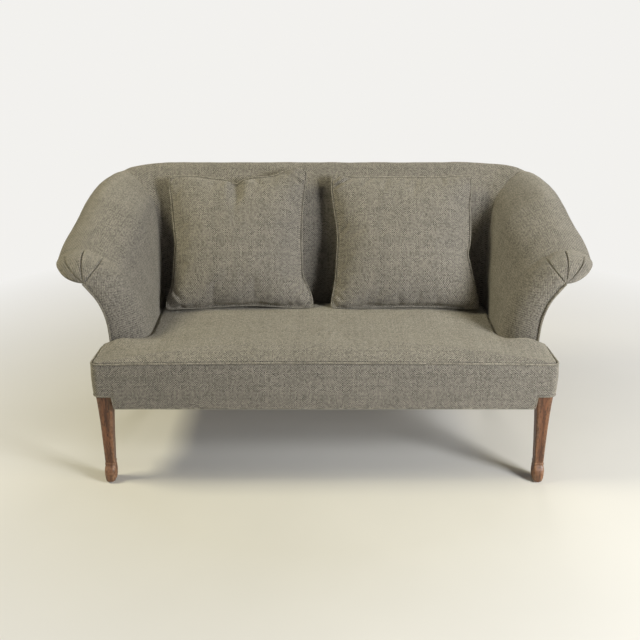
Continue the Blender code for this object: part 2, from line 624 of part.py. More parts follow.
def front_leg_rings(side):
    """Sections of a front leg, from its carved foot over the bead and up the flared taper to the rails."""
    sole_z = GLIDE_HEIGHT + FIT
    foot_x = FRONT_LEG_X + FRONT_FOOT_SPLAY
    ankle_y = FRONT_LEG_FACE_Y + FRONT_ANKLE_SET_BACK
    toe = ANKLE_Z - BEAD_HEIGHT - sole_z
    rings = []
    for share, forward, width, depth, power in ((0.0, 0.35, 0.72, 0.76, 3.0), (0.14, 0.9, 0.96, 0.95, 3.0),
                                                (0.42, 1.0, 1.0, 1.0, 3.0), (0.72, 0.62, 0.97, 0.88, 3.5),
                                                (0.98, 0.06, 0.9, 0.72, 5.0)):
        front = ankle_y + (FRONT_LEG_FACE_Y - FRONT_TOE_PROUD - ankle_y) * forward
        rings.append(leg_ring(side * foot_x, front, FOOT_WIDTH * width, FOOT_DEPTH * depth,
                              sole_z + toe * share, power))
    for up, proud in ((0.0, 0.6), (0.35, 1.0), (0.65, 1.0), (1.0, 0.2)):
        rings.append(leg_ring(side * foot_x, ankle_y - BEAD_PROUD * proud, ANKLE_WIDTH + 2.0 * BEAD_PROUD * proud,
                              ANKLE_DEPTH + 2.0 * BEAD_PROUD * proud, ANKLE_Z - BEAD_HEIGHT * (1.0 - up)))
    for share in (0.05, 0.3, 0.6, 0.82, 0.94, 1.0):
        z = ANKLE_Z + (LEG_NOTCH_Z - ANKLE_Z) * share
        grow = 0.55 * share + 0.45 * share ** 4
        width = ANKLE_WIDTH + (FRONT_LEG_TOP - ANKLE_WIDTH) * grow
        depth = ANKLE_DEPTH + (FRONT_LEG_TOP - ANKLE_DEPTH) * share
        x = foot_x + (FRONT_LEG_X - foot_x) * share
        rings.append(leg_ring(side * x, ankle_y + (FRONT_LEG_FACE_Y - ankle_y) * share, width, depth, z))
    rings.append(leg_ring(side * FRONT_LEG_X, FRONT_LEG_FACE_Y, FRONT_LEG_TOP, FRONT_LEG_TOP, RAIL_TOP_Z))
    return rings


def rear_leg_rings(side):
    """Sections of a rear leg: a square taper raked back below the seat rails."""
    sole_z = GLIDE_HEIGHT + FIT
    rings = []
    for share in (0.0, 0.5, 1.0):
        width = REAR_LEG_FOOT + (REAR_LEG_TOP - REAR_LEG_FOOT) * share
        center_y = REAR_LEG_Y + REAR_LEG_RAKE * (1.0 - share) ** 1.5
        z = sole_z + (REAR_LEG_STRAIGHT_Z - sole_z) * share
        rings.append(leg_ring(side * REAR_LEG_X, center_y - width / 2.0, width, width, z))
    top = leg_ring(side * REAR_LEG_X, REAR_LEG_FRONT_Y, REAR_LEG_TOP, REAR_LEG_TOP, RAIL_TOP_Z)
    return rings + [top]


def build_legs(root):
    """Make the four legs and the glides under them."""
    for name, side in (("left", -1), ("right", 1)):
        for place, rings in (("front", front_leg_rings(side)), ("rear", rear_leg_rings(side))):
            add_piece(name + "_" + place + "_leg", rings_solid(rings), WALNUT, root)
            sole = [Vector(p) for p in rings[0]]
            middle = sum(sole, Vector()) / len(sole)
            disc = []
            for k in range(12):
                angle = math.tau * k / 12
                disc.append((middle.x + GLIDE_RADIUS * math.cos(angle), middle.y + GLIDE_RADIUS * math.sin(angle)))
            add_piece(name + "_" + place + "_glide", prism(disc, 0.0, GLIDE_HEIGHT), NYLON, root)


def build_tub(root):
    """Make the padding, frame, webbing and outside covers of the back and the arms."""
    whole_back = back_stations()
    middle_back = [(1.0, -1), (0.0, 1), (1.0, 1)]
    webbing_depth = PAD_THICK + FIT
    add_piece("back_pad", tub_band(PADDING, 0.0, PAD_THICK, whole_back), TWEED, root)
    add_piece("outside_back_panel", tub_band(PANEL, 0.0, PANEL_THICK, whole_back), TWEED, root)
    add_piece("crest_rail", roll_core(whole_back), BEECH, root)
    add_piece("back_hessian", tub_band(PADDING, webbing_depth, HESSIAN_THICK, middle_back, 1, SHOULDER), HESSIAN, root)
    half_post = POST_WIDTH / 2.0 / CORNER_X
    add_piece("center_back_post", post([(half_post, -1), (half_post, 1)]), BEECH, root)

    panel_front = arm_station(ARM_FRONT_Y - NOSE_DEPTH + PANEL_THICK / 3.0)
    for name, side in (("left", -1), ("right", 1)):
        to_stump = arm_stations(side)
        add_piece(name + "_arm_pad", tub_band(PADDING, 0.0, PAD_THICK, to_stump), TWEED, root)
        past_nose = to_stump + [(panel_front, side)]
        add_piece(name + "_outside_arm_panel", tub_band(PANEL, 0.0, PANEL_THICK, past_nose), TWEED, root)
        add_piece(name + "_arm_rail", roll_core(to_stump), BEECH, root)
        add_piece(name + "_arm_stump", post([(3.0 - POST_STEP, side), (3.0, side)]), BEECH, root)
        add_piece(name + "_rear_arm_post", post([(2.0, side), (2.0 + POST_STEP, side)]), BEECH, root)
        webbing = to_stump[CORNER_STEPS:]
        add_piece(name + "_arm_hessian", tub_band(PADDING, webbing_depth, HESSIAN_THICK, webbing, 1, SHOULDER),
                  HESSIAN, root)
        at = BACK_POST_X / CORNER_X
        add_piece(name + "_back_post", post([(at - half_post, side), (at + half_post, side)]), BEECH, root)
        slices = [nose_ring(side, angle) for angle in NOSE_ANGLES]
        add_piece(name + "_arm_front_pad", rings_solid(slices), TWEED, root)
        add_piece(name + "_arm_welt", arm_welt(side), WELT_TWEED, root)


def arm_welt(side):
    """Make the welt up the outer front edge of an arm, from the seat to the notch under the roll."""
    seam = inset(ARM_CURVES[PANEL], PANEL_THICK / 2.0)
    y = ARM_FRONT_Y - NOSE_DEPTH - WELT_RADIUS - FIT
    start = SEAT_EDGE_Z + WELT_RADIUS - SEAT_LEVEL
    points = [p for p in seam if p.y > start] + [seam_at(seam, start)]
    path = [Vector((side * (INSIDE_HALF_WIDTH + p.x), y, SEAT_LEVEL + p.y)) for p in points]
    return tube(path, WELT_RADIUS, 6, up=Vector((0.0, 1.0, 0.0)))


def pillow_edge(a, b, chop):
    """Place in the pillow's plane, with sides drawn in between the corners and a dip in the top edge."""
    x = a * (PILLOW_HALF - PILLOW_DRAW_IN * (1.0 - b * b))
    z = b * (PILLOW_HALF_HEIGHT - PILLOW_DRAW_IN * (1.0 - a * a))
    return Vector((x, 0.0, z - chop * math.exp(-(a / 0.35) ** 2) * max(b, 0.0) ** 3))


def pillow_solid(chop):
    """Make a pillow that swells from its thin seam to its crown."""
    sheets = []
    for facing, crown in ((-1.0, PILLOW_CROWN), (1.0, PILLOW_BACK_CROWN)):
        sheet = []
        for r in range(PILLOW_STEPS + 1):
            b = 2.0 * r / PILLOW_STEPS - 1.0
            row = []
            for c in range(PILLOW_STEPS + 1):
                a = 2.0 * c / PILLOW_STEPS - 1.0
                swell = PILLOW_EDGE + crown * math.sqrt((1.0 - a * a) * (1.0 - b * b))
                row.append(pillow_edge(a, b, chop) + Vector((0.0, facing * swell, 0.0)))
            sheet.append(row)
        sheets.append(sheet)
    return band_solid(*sheets)


def piping_solid(chop):
    """Make the piping that runs round the pillow's seam as one closed ring."""
    n = PILLOW_STEPS
    walk = [(2.0 * k / n - 1.0, -1.0) for k in range(n)] + [(1.0, 2.0 * k / n - 1.0) for k in range(n)]
    walk += [(1.0 - 2.0 * k / n, 1.0) for k in range(n)] + [(-1.0, 1.0 - 2.0 * k / n) for k in range(n)]
    edge = [pillow_edge(a, b, chop) for a, b in walk]
    path = []
    for i, point in enumerate(edge):
        first = (point - edge[i - 1]).normalized()
        second = (edge[(i + 1) % len(edge)] - point).normalized()
        along = (first + second).normalized()
        outward = Vector((along.z, 0.0, -along.x))
        path.append(point + outward * (PIPING_RADIUS + FIT) / along.dot(first))
    return tube(path, PIPING_RADIUS, 6, closed=True, up=Vector((0.0, 1.0, 0.0)))


def seat_rise(share):
    """Height of the seat's surface at a share of the way from its middle to its outline."""
    return SEAT_EDGE_Z + SEAT_CROWN * (1.0 - share ** 3)


def pillow_center():
    """Place a pillow's middle so that its lower seam rests on the seat and its crown meets the back."""
    seam = PILLOW_HALF_HEIGHT + PIPING_RADIUS + FIT
    lean = Vector((math.sin(PILLOW_LEAN), math.cos(PILLOW_LEAN)))
    facing = Vector((lean.y, -lean.x))
    padding = BACK_CURVES[PADDING][SHOULDER::-1]
    center = Vector((INSIDE_BACK_Y, SEAT_LEVEL))
    for _ in range(4):
        foot_y = center.x - seam * lean.x
        share = (foot_y - CROWN_CENTER_Y) / (INSIDE_BACK_Y - CROWN_CENTER_Y)
        center.y = seat_rise(share) + seam * lean.y + PIPING_RADIUS + FIT
        room = []
        for k in range(1, PILLOW_STEPS):
            b = 2.0 * k / PILLOW_STEPS - 1.0
            swell = PILLOW_EDGE + PILLOW_BACK_CROWN * math.sqrt(1.0 - b * b)
            at = center + lean * b * (PILLOW_HALF_HEIGHT - PILLOW_DRAW_IN) + facing * swell
            room.append(INSIDE_BACK_Y + seam_at(padding, at.y - SEAT_LEVEL).x - at.x)
        center.x += min(room) - PILLOW_BACK_GAP
    return center


def build_pillows(root):
    """Make the two loose pillows, each with its origin on the upright line that it is lifted along."""
    y, z = pillow_center()
    for name, x, chop in (("left", LEFT_PILLOW_X, PILLOW_CHOP), ("right", RIGHT_PILLOW_X, 0.0)):
        place = Matrix.Translation((x, y, z)) @ Matrix.Rotation(-PILLOW_LEAN, 4, "X")
        pillow = add_piece(name + "_pillow", pillow_solid(chop), TWEED, root, place)
        add_piece(name + "_pillow_piping", piping_solid(chop), WELT_TWEED, pillow)


def main():
    """Build the whole sofa."""
    clear_scene()
    root = bpy.data.objects.new("sofa", None)
    bpy.context.scene.collection.objects.link(root)
    build_seat_frame(root)
    build_legs(root)
    build_seat(root)
    build_tub(root)
    build_pillows(root)


main()
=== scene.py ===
"""Dressed model of a rolled arm sofa in grey-olive tweed with walnut legs and two scatter pillows.

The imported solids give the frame: every piece here rides on one of their bodies, in metres, front towards -Y.
"""

import logging
import math
from dataclasses import dataclass
from enum import Enum
from typing import Iterable, Sequence

import bmesh
import bpy
import numpy as np
from mathutils import Matrix, Vector


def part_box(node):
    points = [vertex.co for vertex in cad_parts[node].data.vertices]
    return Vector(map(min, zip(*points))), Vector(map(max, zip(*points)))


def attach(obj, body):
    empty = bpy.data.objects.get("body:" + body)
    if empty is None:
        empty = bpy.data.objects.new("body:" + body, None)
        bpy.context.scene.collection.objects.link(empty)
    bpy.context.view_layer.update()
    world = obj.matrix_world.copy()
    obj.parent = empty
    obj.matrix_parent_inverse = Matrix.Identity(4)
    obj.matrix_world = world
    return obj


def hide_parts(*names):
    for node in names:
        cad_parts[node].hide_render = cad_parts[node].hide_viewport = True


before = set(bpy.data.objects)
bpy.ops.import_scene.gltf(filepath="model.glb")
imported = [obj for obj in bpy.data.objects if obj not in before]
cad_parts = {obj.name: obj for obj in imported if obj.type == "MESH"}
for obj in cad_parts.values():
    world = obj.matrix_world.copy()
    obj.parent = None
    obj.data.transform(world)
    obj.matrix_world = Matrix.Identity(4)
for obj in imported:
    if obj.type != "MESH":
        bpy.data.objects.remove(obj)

LOG = logging.getLogger("sofa")
WEAVE_MAP = "weave"
WEAR = "wear"
FIT = 0.0003
SHARP = math.radians(50.0)
Points = np.ndarray
Colour = tuple[float, float, float]
Keys = Sequence[tuple[float, float]]
Socket = bpy.types.NodeSocket
Piece = bpy.types.Object
Material = bpy.types.Material


class Side(Enum):
    """Left and right of the sofa as seen from the front."""

    LEFT = -1
    RIGHT = 1

    def label(self, name: str) -> str:
        """Name of a piece on this side."""
        return f"{self.name.lower()}_{name}"


class ThreadSource(Enum):
    """Where a woven finish takes its thread directions from."""

    UV = "uv"
    OBJECT = "object"


class Nodes:
    """Adds and links the nodes of one tree."""

    def __init__(self, tree: bpy.types.NodeTree) -> None:
        """Keep the tree to work on."""
        self.tree = tree

    def feed(self, socket: Socket, value: object) -> None:
        """Link a socket to another socket, or set its value.

        Args:
            socket: input socket.
            value: an output socket, a number or a tuple.
        """
        if isinstance(value, Socket):
            self.tree.links.new(value, socket)
        else:
            socket.default_value = value

    def node(self, kind: str, feeds: dict | None = None, **settings: object) -> bpy.types.Node:
        """Add one node and feed its inputs.

        Args:
            kind: node type, without its first word for a shader node.
            feeds: values or output sockets by the name or number of the input.
            settings: node properties to set.

        Returns:
            The new node.
        """
        made = self.tree.nodes.new(kind if "Node" in kind else "ShaderNode" + kind)
        for key, value in settings.items():
            setattr(made, key, value)
        for key, value in (feeds or {}).items():
            self.feed(made.inputs[key], value)
        return made

    def math(self, operation: str, *values: object) -> Socket:
        """Add a Math node and return its output."""
        return self.node("Math", dict(enumerate(values)), operation=operation).outputs[0]

    def spread(self, value: object, low: float, high: float, to_low: float = 0.0, to_high: float = 1.0) -> Socket:
        """Map a value from one range to another, clamped.

        Args:
            value: socket to map.
            low: start of the range that it comes in.
            high: end of that range.
            to_low: result at the start.
            to_high: result at the end.

        Returns:
            The mapped value's socket.
        """
        feeds = {"Value": value, "From Min": low, "From Max": high, "To Min": to_low, "To Max": to_high}
        return self.node("MapRange", feeds).outputs["Result"]

    def in_view(self) -> Socket:
        """1 for rays that show a surface, straight, mirrored or through glass, and 0 for rays of light.

        Returns:
            The socket of that number.
        """
        rays = self.node("LightPath").outputs
        either = self.math("MAXIMUM", rays["Is Camera Ray"], rays["Is Glossy Ray"])
        return self.math("MAXIMUM", either, rays["Is Transmission Ray"])


class Graph(Nodes):
    """The nodes of one material."""

    def __init__(self, name: str) -> None:
        """Start an empty material with a Principled shader.

        Args:
            name: name of the material.
        """
        self.material = bpy.data.materials.new(name)
        self.material.use_nodes = True
        super().__init__(self.material.node_tree)
        self.shader = self.tree.nodes["Principled BSDF"]

    def mix(self, share: object, first: object, second: object, blend: str = "MIX") -> Socket:
        """Mix two colours.

        Args:
            share: amount of the second colour.
            first: first colour, a socket or an RGB tuple.
            second: second colour.
            blend: blend type.

        Returns:
            The mixed colour's socket.
        """
        one, two = ((*c, 1.0) if isinstance(c, tuple) else c for c in (first, second))
        return self.node("Mix", {0: share, 6: one, 7: two}, data_type="RGBA", blend_type=blend).outputs[2]

    def noise(self, vector: Socket, scale: float, detail: float = 2.0) -> Socket:
        """Add a noise texture on given coordinates and return its value."""
        return self.node("TexNoise", {"Vector": vector, "Scale": scale, "Detail": detail}).outputs["Fac"]

    def grain(self, vector: Socket, scale: tuple[float, float, float], detail: float = 2.0) -> Socket:
        """Add a noise texture on stretched coordinates and return its value."""
        return self.noise(self.node("Mapping", {"Vector": vector, "Scale": scale}).outputs[0], 1.0, detail)

    def relief(self, height: Socket, strength: float, distance: float, below: Socket | None = None) -> Socket:
        """Add a Bump node.

        Args:
            height: height field.
            strength: strength of the relief.
            distance: depth of the relief in metres.
            below: normal of a coarser relief that lies under this one.

        Returns:
            The normal's socket.
        """
        feeds = {"Strength": strength, "Distance": distance, "Height": height}
        if below is not None:
            feeds["Normal"] = below
        return self.node("Bump", feeds).outputs["Normal"]

    def object_coordinates(self) -> Socket:
        """Coordinates in the piece's own frame, in metres."""
        return self.node("TexCoord").outputs["Object"]

    def close(self, **feeds: object) -> Material:
        """Feed the shader and return the finished material.

        Args:
            feeds: values or sockets of the shader's inputs by name, with spaces as underscores.

        Returns:
            The material.
        """
        for key, value in feeds.items():
            self.feed(self.shader.inputs[key.replace("_", " ")], value)
        return self.material


@dataclass(frozen=True)
class TweedFinish:
    """Coarse plain weave of light and dark melange yarns."""

    name: str = "grey_olive_tweed"
    light: Colour = (0.386, 0.351, 0.299)
    dark: Colour = (0.036, 0.033, 0.030)
    fleck: Colour = (0.095, 0.104, 0.104)
    sheen: Colour = (1.0, 0.93, 0.76)
    pitch: float = 0.0036
    wander: float = 0.0036
    relief: float = 0.0011
    warp_tone: float = -0.10
    weft_tone: float = 0.33
    slub_tone: float = 0.26
    yarn_tone: float = 0.20
    knot_tone: float = 0.52
    fleck_share: float = 0.55
    threads: ThreadSource = ThreadSource.UV

    def build(self) -> Material:
        """Make the material.

        Returns:
            A woven material on the piece's thread map, or on its own coordinates.
        """
        g = Graph(self.name)
        mapped = self.threads is ThreadSource.UV
        flat = g.node("UVMap", uv_map=WEAVE_MAP).outputs[0] if mapped else g.object_coordinates()
        drift = g.node("TexNoise", {"Vector": flat, "Scale": 26.0, "Detail": 1.0}).outputs["Color"]
        moved = g.node("VectorMath", {0: drift, 1: (self.wander,) * 3, 2: flat}, operation="MULTIPLY_ADD")
        x, y, z = g.node("SeparateXYZ", {0: moved.outputs[0]}).outputs
        axes = (x, y) if mapped else (g.math("ADD", x, y), g.math("SUBTRACT", z, y))
        places = [g.math("DIVIDE", axis, self.pitch) for axis in axes]
        warp, weft = (g.math("FLOOR", place) for place in places)
        offs = [g.math("SUBTRACT", g.math("FRACT", place), 0.5) for place in places]
        rounds = [g.math("MULTIPLY_ADD", g.math("MULTIPLY", off, off), -4.0, 1.0) for off in offs]
        heights = [g.math("MULTIPLY", mine, g.math("MULTIPLY_ADD", other, 0.5, 0.5))
                   for mine, other in (rounds, rounds[::-1])]
        warp_up = g.math("PINGPONG", g.math("ADD", warp, weft), 1.0)
        height = self._blend(g, warp_up, heights[1], heights[0])

        warp_tone = self._yarn(g, flat, warp, (520.0, 60.0, 60.0), self.warp_tone)
        weft_tone = self._yarn(g, flat, g.math("ADD", weft, 517.3), (60.0, 520.0, 60.0), self.weft_tone)
        cell = g.node("CombineXYZ", {0: warp, 1: weft}).outputs[0]
        knot = g.node("TexWhiteNoise", {"Vector": cell}, noise_dimensions="2D").outputs["Value"]
        shade = g.math("MULTIPLY_ADD", knot, self.knot_tone, self._blend(g, warp_up, weft_tone, warp_tone))
        colour = g.mix(shade, self.dark, self.light)
        speck = g.spread(g.noise(flat, 420.0, 1.0), 0.62, 0.74)
        colour = g.mix(g.math("MULTIPLY", speck, self.fleck_share), colour, self.fleck)
        worn = g.spread(g.noise(flat, 7.0, 3.0), 0.3, 0.7, 0.93, 1.05)
        # Painted shade: the colour is darkened where the weave lies low between the yarns, and is multiplied by the
        # random worn tone as well.
        gap = g.math("MULTIPLY", g.math("MULTIPLY_ADD", height, 0.80, 0.42), worn)
        colour = g.mix(1.0, colour, g.node("CombineXYZ", {0: gap, 1: gap, 2: gap}).outputs[0], "MULTIPLY")
        fuzz = g.noise(flat, 1500.0)
        return g.close(Base_Color=colour, Roughness=g.spread(fuzz, 0.3, 0.7, 0.86, 0.98),
                       Normal=g.relief(fuzz, 0.25, 0.0005, g.relief(height, 0.85, self.relief)),
                       Sheen_Weight=0.30, Sheen_Roughness=0.5, Sheen_Tint=(*self.sheen, 1.0),
                       Specular_IOR_Level=0.25)

    @staticmethod
    def _blend(g: Graph, share: Socket, first: Socket, second: Socket) -> Socket:
        """Mix two numbers."""
        return g.node("Mix", {0: share, 2: first, 3: second}, data_type="FLOAT").outputs[0]

    def _yarn(self, g: Graph, flat: Socket, index: Socket, stretch: tuple[float, float, float],
              base: float) -> Socket:
        """Lightness of one set of yarns: each yarn its own tone, with slubs along it.

        Args:
            g: graph to add to.
            flat: thread coordinates in metres.
            index: number of the yarn.
            stretch: noise scale across and along the yarn.
            base: lightness of the yarn before its slubs.

        Returns:
            The lightness socket.
        """
        tone = g.node("TexWhiteNoise", {"W": index}, noise_dimensions="1D").outputs["Value"]
        streak = g.spread(g.grain(flat, stretch), 0.28, 0.72, base, base + self.slub_tone)
        return g.math("MULTIPLY_ADD", tone, self.yarn_tone, streak)


@dataclass(frozen=True)
class WalnutFinish:
    """Brown open-grained wood with a dull polish, paler where it is worn."""

    name: str = "worn_walnut"
    dark: Colour = (0.062, 0.023, 0.011)
    mid: Colour = (0.232, 0.094, 0.041)
    worn: Colour = (0.345, 0.195, 0.108)
    pore: Colour = (0.016, 0.008, 0.005)

    def build(self) -> Material:
        """Make the material.

        Returns:
            A wood material with grain along the leg.
        """
        g = Graph(self.name)
        place = g.object_coordinates()
        bands = g.grain(place, (130.0, 130.0, 9.0), 4.0)
        pore = g.spread(g.grain(place, (420.0, 420.0, 60.0)), 0.54, 0.64)
        colour = g.mix(g.spread(bands, 0.32, 0.68), self.dark, self.mid)
        colour = g.mix(g.math("MULTIPLY", pore, 0.75), colour, self.pore)
        patch = g.spread(g.noise(place, 120.0, 3.0), 0.38, 0.66)
        wear = g.node("Attribute", attribute_name=WEAR).outputs["Fac"]
        wear = g.math("MULTIPLY", wear, g.math("MULTIPLY_ADD", patch, 0.55, 0.18))
        return g.close(Base_Color=g.mix(wear, colour, self.worn), Roughness=g.spread(bands, 0.3, 0.7, 0.36, 0.54),
                       Normal=g.relief(g.math("SUBTRACT", 1.0, pore), 0.35, 0.0005))


@dataclass(frozen=True)
class GrainFinish:
    """Plain or sawn material with streaks along one axis, for the hidden frame and the fittings."""

    name: str
    low: Colour
    high: Colour
    stretch: tuple[float, float, float]
    roughness: tuple[float, float]
    metallic: float = 0.0

    def build(self) -> Material:
        """Make the material from two stretched noises.

        Returns:
            The material.
        """
        g = Graph(self.name)
        place = g.object_coordinates()
        streak = g.grain(place, self.stretch, 4.0)
        cloud = g.math("MULTIPLY_ADD", g.noise(place, 9.0), 0.35, streak)
        return g.close(Base_Color=g.mix(g.spread(cloud, 0.45, 0.90), self.low, self.high),
                       Roughness=g.spread(streak, 0.3, 0.7, *self.roughness),
                       Normal=g.relief(streak, 0.2, 0.0006), Metallic=self.metallic)


@dataclass(frozen=True)
class LoomFinish:
    """Open plain cloth of one fibre, such as sacking or the black cloth under the seat."""

    name: str
    thread: Colour
    shade: Colour
    pitch: float

    def build(self) -> Material:
        """Make the material from two crossed sets of threads.

        Returns:
            The material.
        """
        g = Graph(self.name)
        place = g.object_coordinates()
        x, y, z = g.node("SeparateXYZ", {0: place}).outputs
        axes = (x, g.math("SUBTRACT", y, z))
        bars = [g.math("PINGPONG", g.math("DIVIDE", axis, self.pitch), 0.5) for axis in axes]
        net = g.math("MAXIMUM", *bars)
        slub = g.spread(g.grain(place, (700.0, 700.0, 90.0)), 0.2, 0.7, 0.55, 1.0)
        shade = g.math("MULTIPLY", g.spread(net, 0.12, 0.42), slub)
        return g.close(Base_Color=g.mix(shade, self.shade, self.thread), Roughness=0.94,
                       Normal=g.relief(net, 0.5, 0.0006))


@dataclass(frozen=True)
class FloorFinish:
    """Pale matt studio floor, brighter to the camera than to the object."""

    name: str = "studio_floor"
    colour: Colour = (0.70, 0.675, 0.625)
    backdrop: Colour = (0.89, 0.88, 0.855)
    near: float = 0.75
    far: float = 2.3

    def build(self) -> Material:
        """Make the floor's material with a faint cloud in it.

        Returns:
            The material.
        """
        g = Graph(self.name)
        place = g.object_coordinates()
        cloud = g.spread(g.noise(place, 1.7, 3.0), 0.3, 0.7)
        pale = tuple(0.95 * c for c in self.colour)
        g.close(Base_Color=g.mix(cloud, pale, self.colour), Roughness=0.72, Specular_IOR_Level=0.2)
        away = g.node("VectorMath", {0: place}, operation="LENGTH").outputs["Value"]
        far = g.math("MULTIPLY", g.spread(away, self.near, self.far), g.in_view())
        glow = g.node("Emission", {"Color": (*self.backdrop, 1.0)}).outputs[0]
        blend = g.node("MixShader", {0: far, 1: g.shader.outputs[0], 2: glow}).outputs[0]
        g.feed(g.tree.nodes["Material Output"].inputs["Surface"], blend)
        return g.material


def smooth_curve(keys: Keys, steps: Sequence[int]) -> Points:
    """Pass a smooth curve through section points.

    Args:
        keys: points that the curve passes through.
        steps: number of steps in each span.

    Returns:
        The curve's points, one row each.
    """
    knots = np.array(keys, float)
    legs = np.diff(knots, axis=0)
    reach = np.sqrt(np.linalg.norm(legs, axis=1))[:, None]
    rates = legs / reach
    slopes = np.vstack([rates[:1], (rates[:-1] * reach[1:] + rates[1:] * reach[:-1]) / (reach[1:] + reach[:-1]),
                        rates[-1:]])
    curve = [knots[:1]]
    for i, count in enumerate(steps):
        s = np.linspace(0.0, 1.0, count + 1)[1:, None]
        rise = s * s * (3.0 - 2.0 * s)
        leave = s * (1.0 - s) ** 2 * reach[i]
        arrive = s * s * (s - 1.0) * reach[i]
        curve.append(knots[i] + legs[i] * rise + leave * slopes[i] + arrive * slopes[i + 1])
    return np.vstack(curve)


def unit(vectors: Points) -> Points:
    """Vectors of length 1 in the same directions."""
    return vectors / np.linalg.norm(vectors, axis=-1, keepdims=True)


def quarter_turn(along: Points) -> Points:
    """Plan directions turned left by a right angle."""
    return np.stack([-along[:, 1], along[:, 0]], axis=1)


def run_length(path: Points) -> Points:
    """Distance along a path from its first point to each of its points."""
    return np.concatenate([[0.0], np.cumsum(np.linalg.norm(np.diff(path, axis=0), axis=1))])


def on_path(path: Points, run: Points, marks: Points) -> Points:
    """Points at given marks on a path whose own points lie at the marks in run."""
    return np.stack([np.interp(marks, run, path[:, k]) for k in range(path.shape[1])], axis=-1)


def resample(path: Points, spacing: float) -> Points:
    """Space the points of a path evenly, as near to the spacing as its length allows, with the same ends."""
    run = run_length(path)
    return on_path(path, run, np.linspace(0.0, run[-1], max(int(round(run[-1] / spacing)), 2) + 1))


def stops(marks: Sequence[float], counts: Sequence[int]) -> Points:
    """Evenly spaced numbers from each mark to the next.

    Args:
        marks: numbers to pass through.
        counts: how many numbers each leg has, with both its ends.

    Returns:
        All the numbers, with each mark once.
    """
    legs = [np.linspace(a, b, n) for a, b, n in zip(marks, marks[1:], counts)]
    return np.concatenate([legs[0], *(leg[1:] for leg in legs[1:])])


def spots(x: Points | float, y: Points | float, z: Points | float) -> Points:
    """Points from coordinates, each an array or one number for all the points."""
    return np.stack(np.broadcast_arrays(x, y, z), axis=-1)


def squircle(sine: Points | float, cosine: Points | float, power: float) -> Points | float:
    """Distance from the centre to the edge of a rounded square of half size 1, in a direction."""
    return (np.abs(sine) ** power + np.abs(cosine) ** power) ** (-1.0 / power)


def inset(curve: Points, depth: float) -> Points:
    """Move a section curve towards the hollow of the tub.

    Args:
        curve: section as (out, up) rows.
        depth: distance to move by.

    Returns:
        The moved curve.
    """
    along = np.vstack([curve[1:2] - curve[:1], curve[2:] - curve[:-2], curve[-1:] - curve[-2:-1]])
    moved = curve - depth * quarter_turn(unit(along))
    if curve[1, 1] < curve[0, 1]:
        moved[0, 1] = curve[0, 1]
    return moved


def ease(value: Points | float, low: float, high: float) -> Points:
    """Smooth step from 0 at low to 1 at high."""
    s = np.clip((np.asarray(value, float) - low) / (high - low), 0.0, 1.0)
    return s * s * (3.0 - 2.0 * s)


def ripple(points: Points, length: float, seed: int) -> Points:
    """Soft irregular unevenness over points.

    Args:
        points: array whose last axis holds coordinates.
        length: typical wave length in metres.
        seed: fixed seed of the pattern.

    Returns:
        One number for each point, about -1 to 1.
    """
    rng = np.random.default_rng(seed)
    total = np.zeros(points.shape[:-1])
    for _ in range(9):
        heading = rng.normal(size=points.shape[-1])
        heading *= math.tau / length * rng.uniform(0.6, 1.5) / np.linalg.norm(heading)
        total += np.sin(points @ heading + rng.uniform(0.0, math.tau))
    return total / 4.0


def cover_normals(outer: Points, inner: Points) -> Points:
    """Unit normals of a cover's grid, pointing away from the face behind it.

    Args:
        outer: grid of the cover.
        inner: grid of the face behind it.

    Returns:
        One normal for each point of the cover.
    """
    normal = np.cross(np.gradient(outer, axis=0), np.gradient(outer, axis=1))
    normal /= np.maximum(np.linalg.norm(normal, axis=2, keepdims=True), 1e-12)
    return -normal if np.sum(normal * (outer - inner)) < 0.0 else normal


def thread_map(grid: Points, row: int, column: int) -> Points:
    """Lay threads over a grid of points at true scale.

    Args:
        grid: points by rows and columns.
        row: row that the threads along the columns are counted from.
        column: column that the threads along the rows are counted from.

    Returns:
        Thread coordinates in metres for each point.
    """
    across = np.zeros(grid.shape[:2])
    across[1:] = np.cumsum(np.linalg.norm(np.diff(grid, axis=0), axis=2), axis=0)
    along = np.zeros(grid.shape[:2])
    along[:, 1:] = np.cumsum(np.linalg.norm(np.diff(grid, axis=1), axis=2), axis=1)
    return np.stack([across - across[row:row + 1], along - along[:, column:column + 1]], axis=2)


def grid_faces(rows: int, columns: int, start: int = 0, wrap: bool = False) -> np.ndarray:
    """Quads between the points of a grid.

    Args:
        rows: number of rows.
        columns: number of columns.
        start: index of the grid's first point.
        wrap: whether the last column joins the first.

    Returns:
        Four indices for each quad.
    """
    r, c = np.meshgrid(np.arange(rows - 1), np.arange(columns if wrap else columns - 1), indexing="ij")
    nxt = (c + 1) % columns
    quads = np.stack([r * columns + c, r * columns + nxt, (r + 1) * columns + nxt, (r + 1) * columns + c], axis=2)
    return quads.reshape(-1, 4) + start


def add_object(name: str, data: bpy.types.ID) -> Piece:
    """Put a new object into the scene.

    Args:
        name: name of the object.
        data: its mesh, light or camera.

    Returns:
        The object.
    """
    made = bpy.data.objects.new(name, data)
    bpy.context.scene.collection.objects.link(made)
    return made


def move_to(piece: Piece, points: Points) -> None:
    """Put the vertices of a piece at new places."""
    piece.data.vertices.foreach_set("co", points.astype(np.float32).ravel())
    piece.data.update()


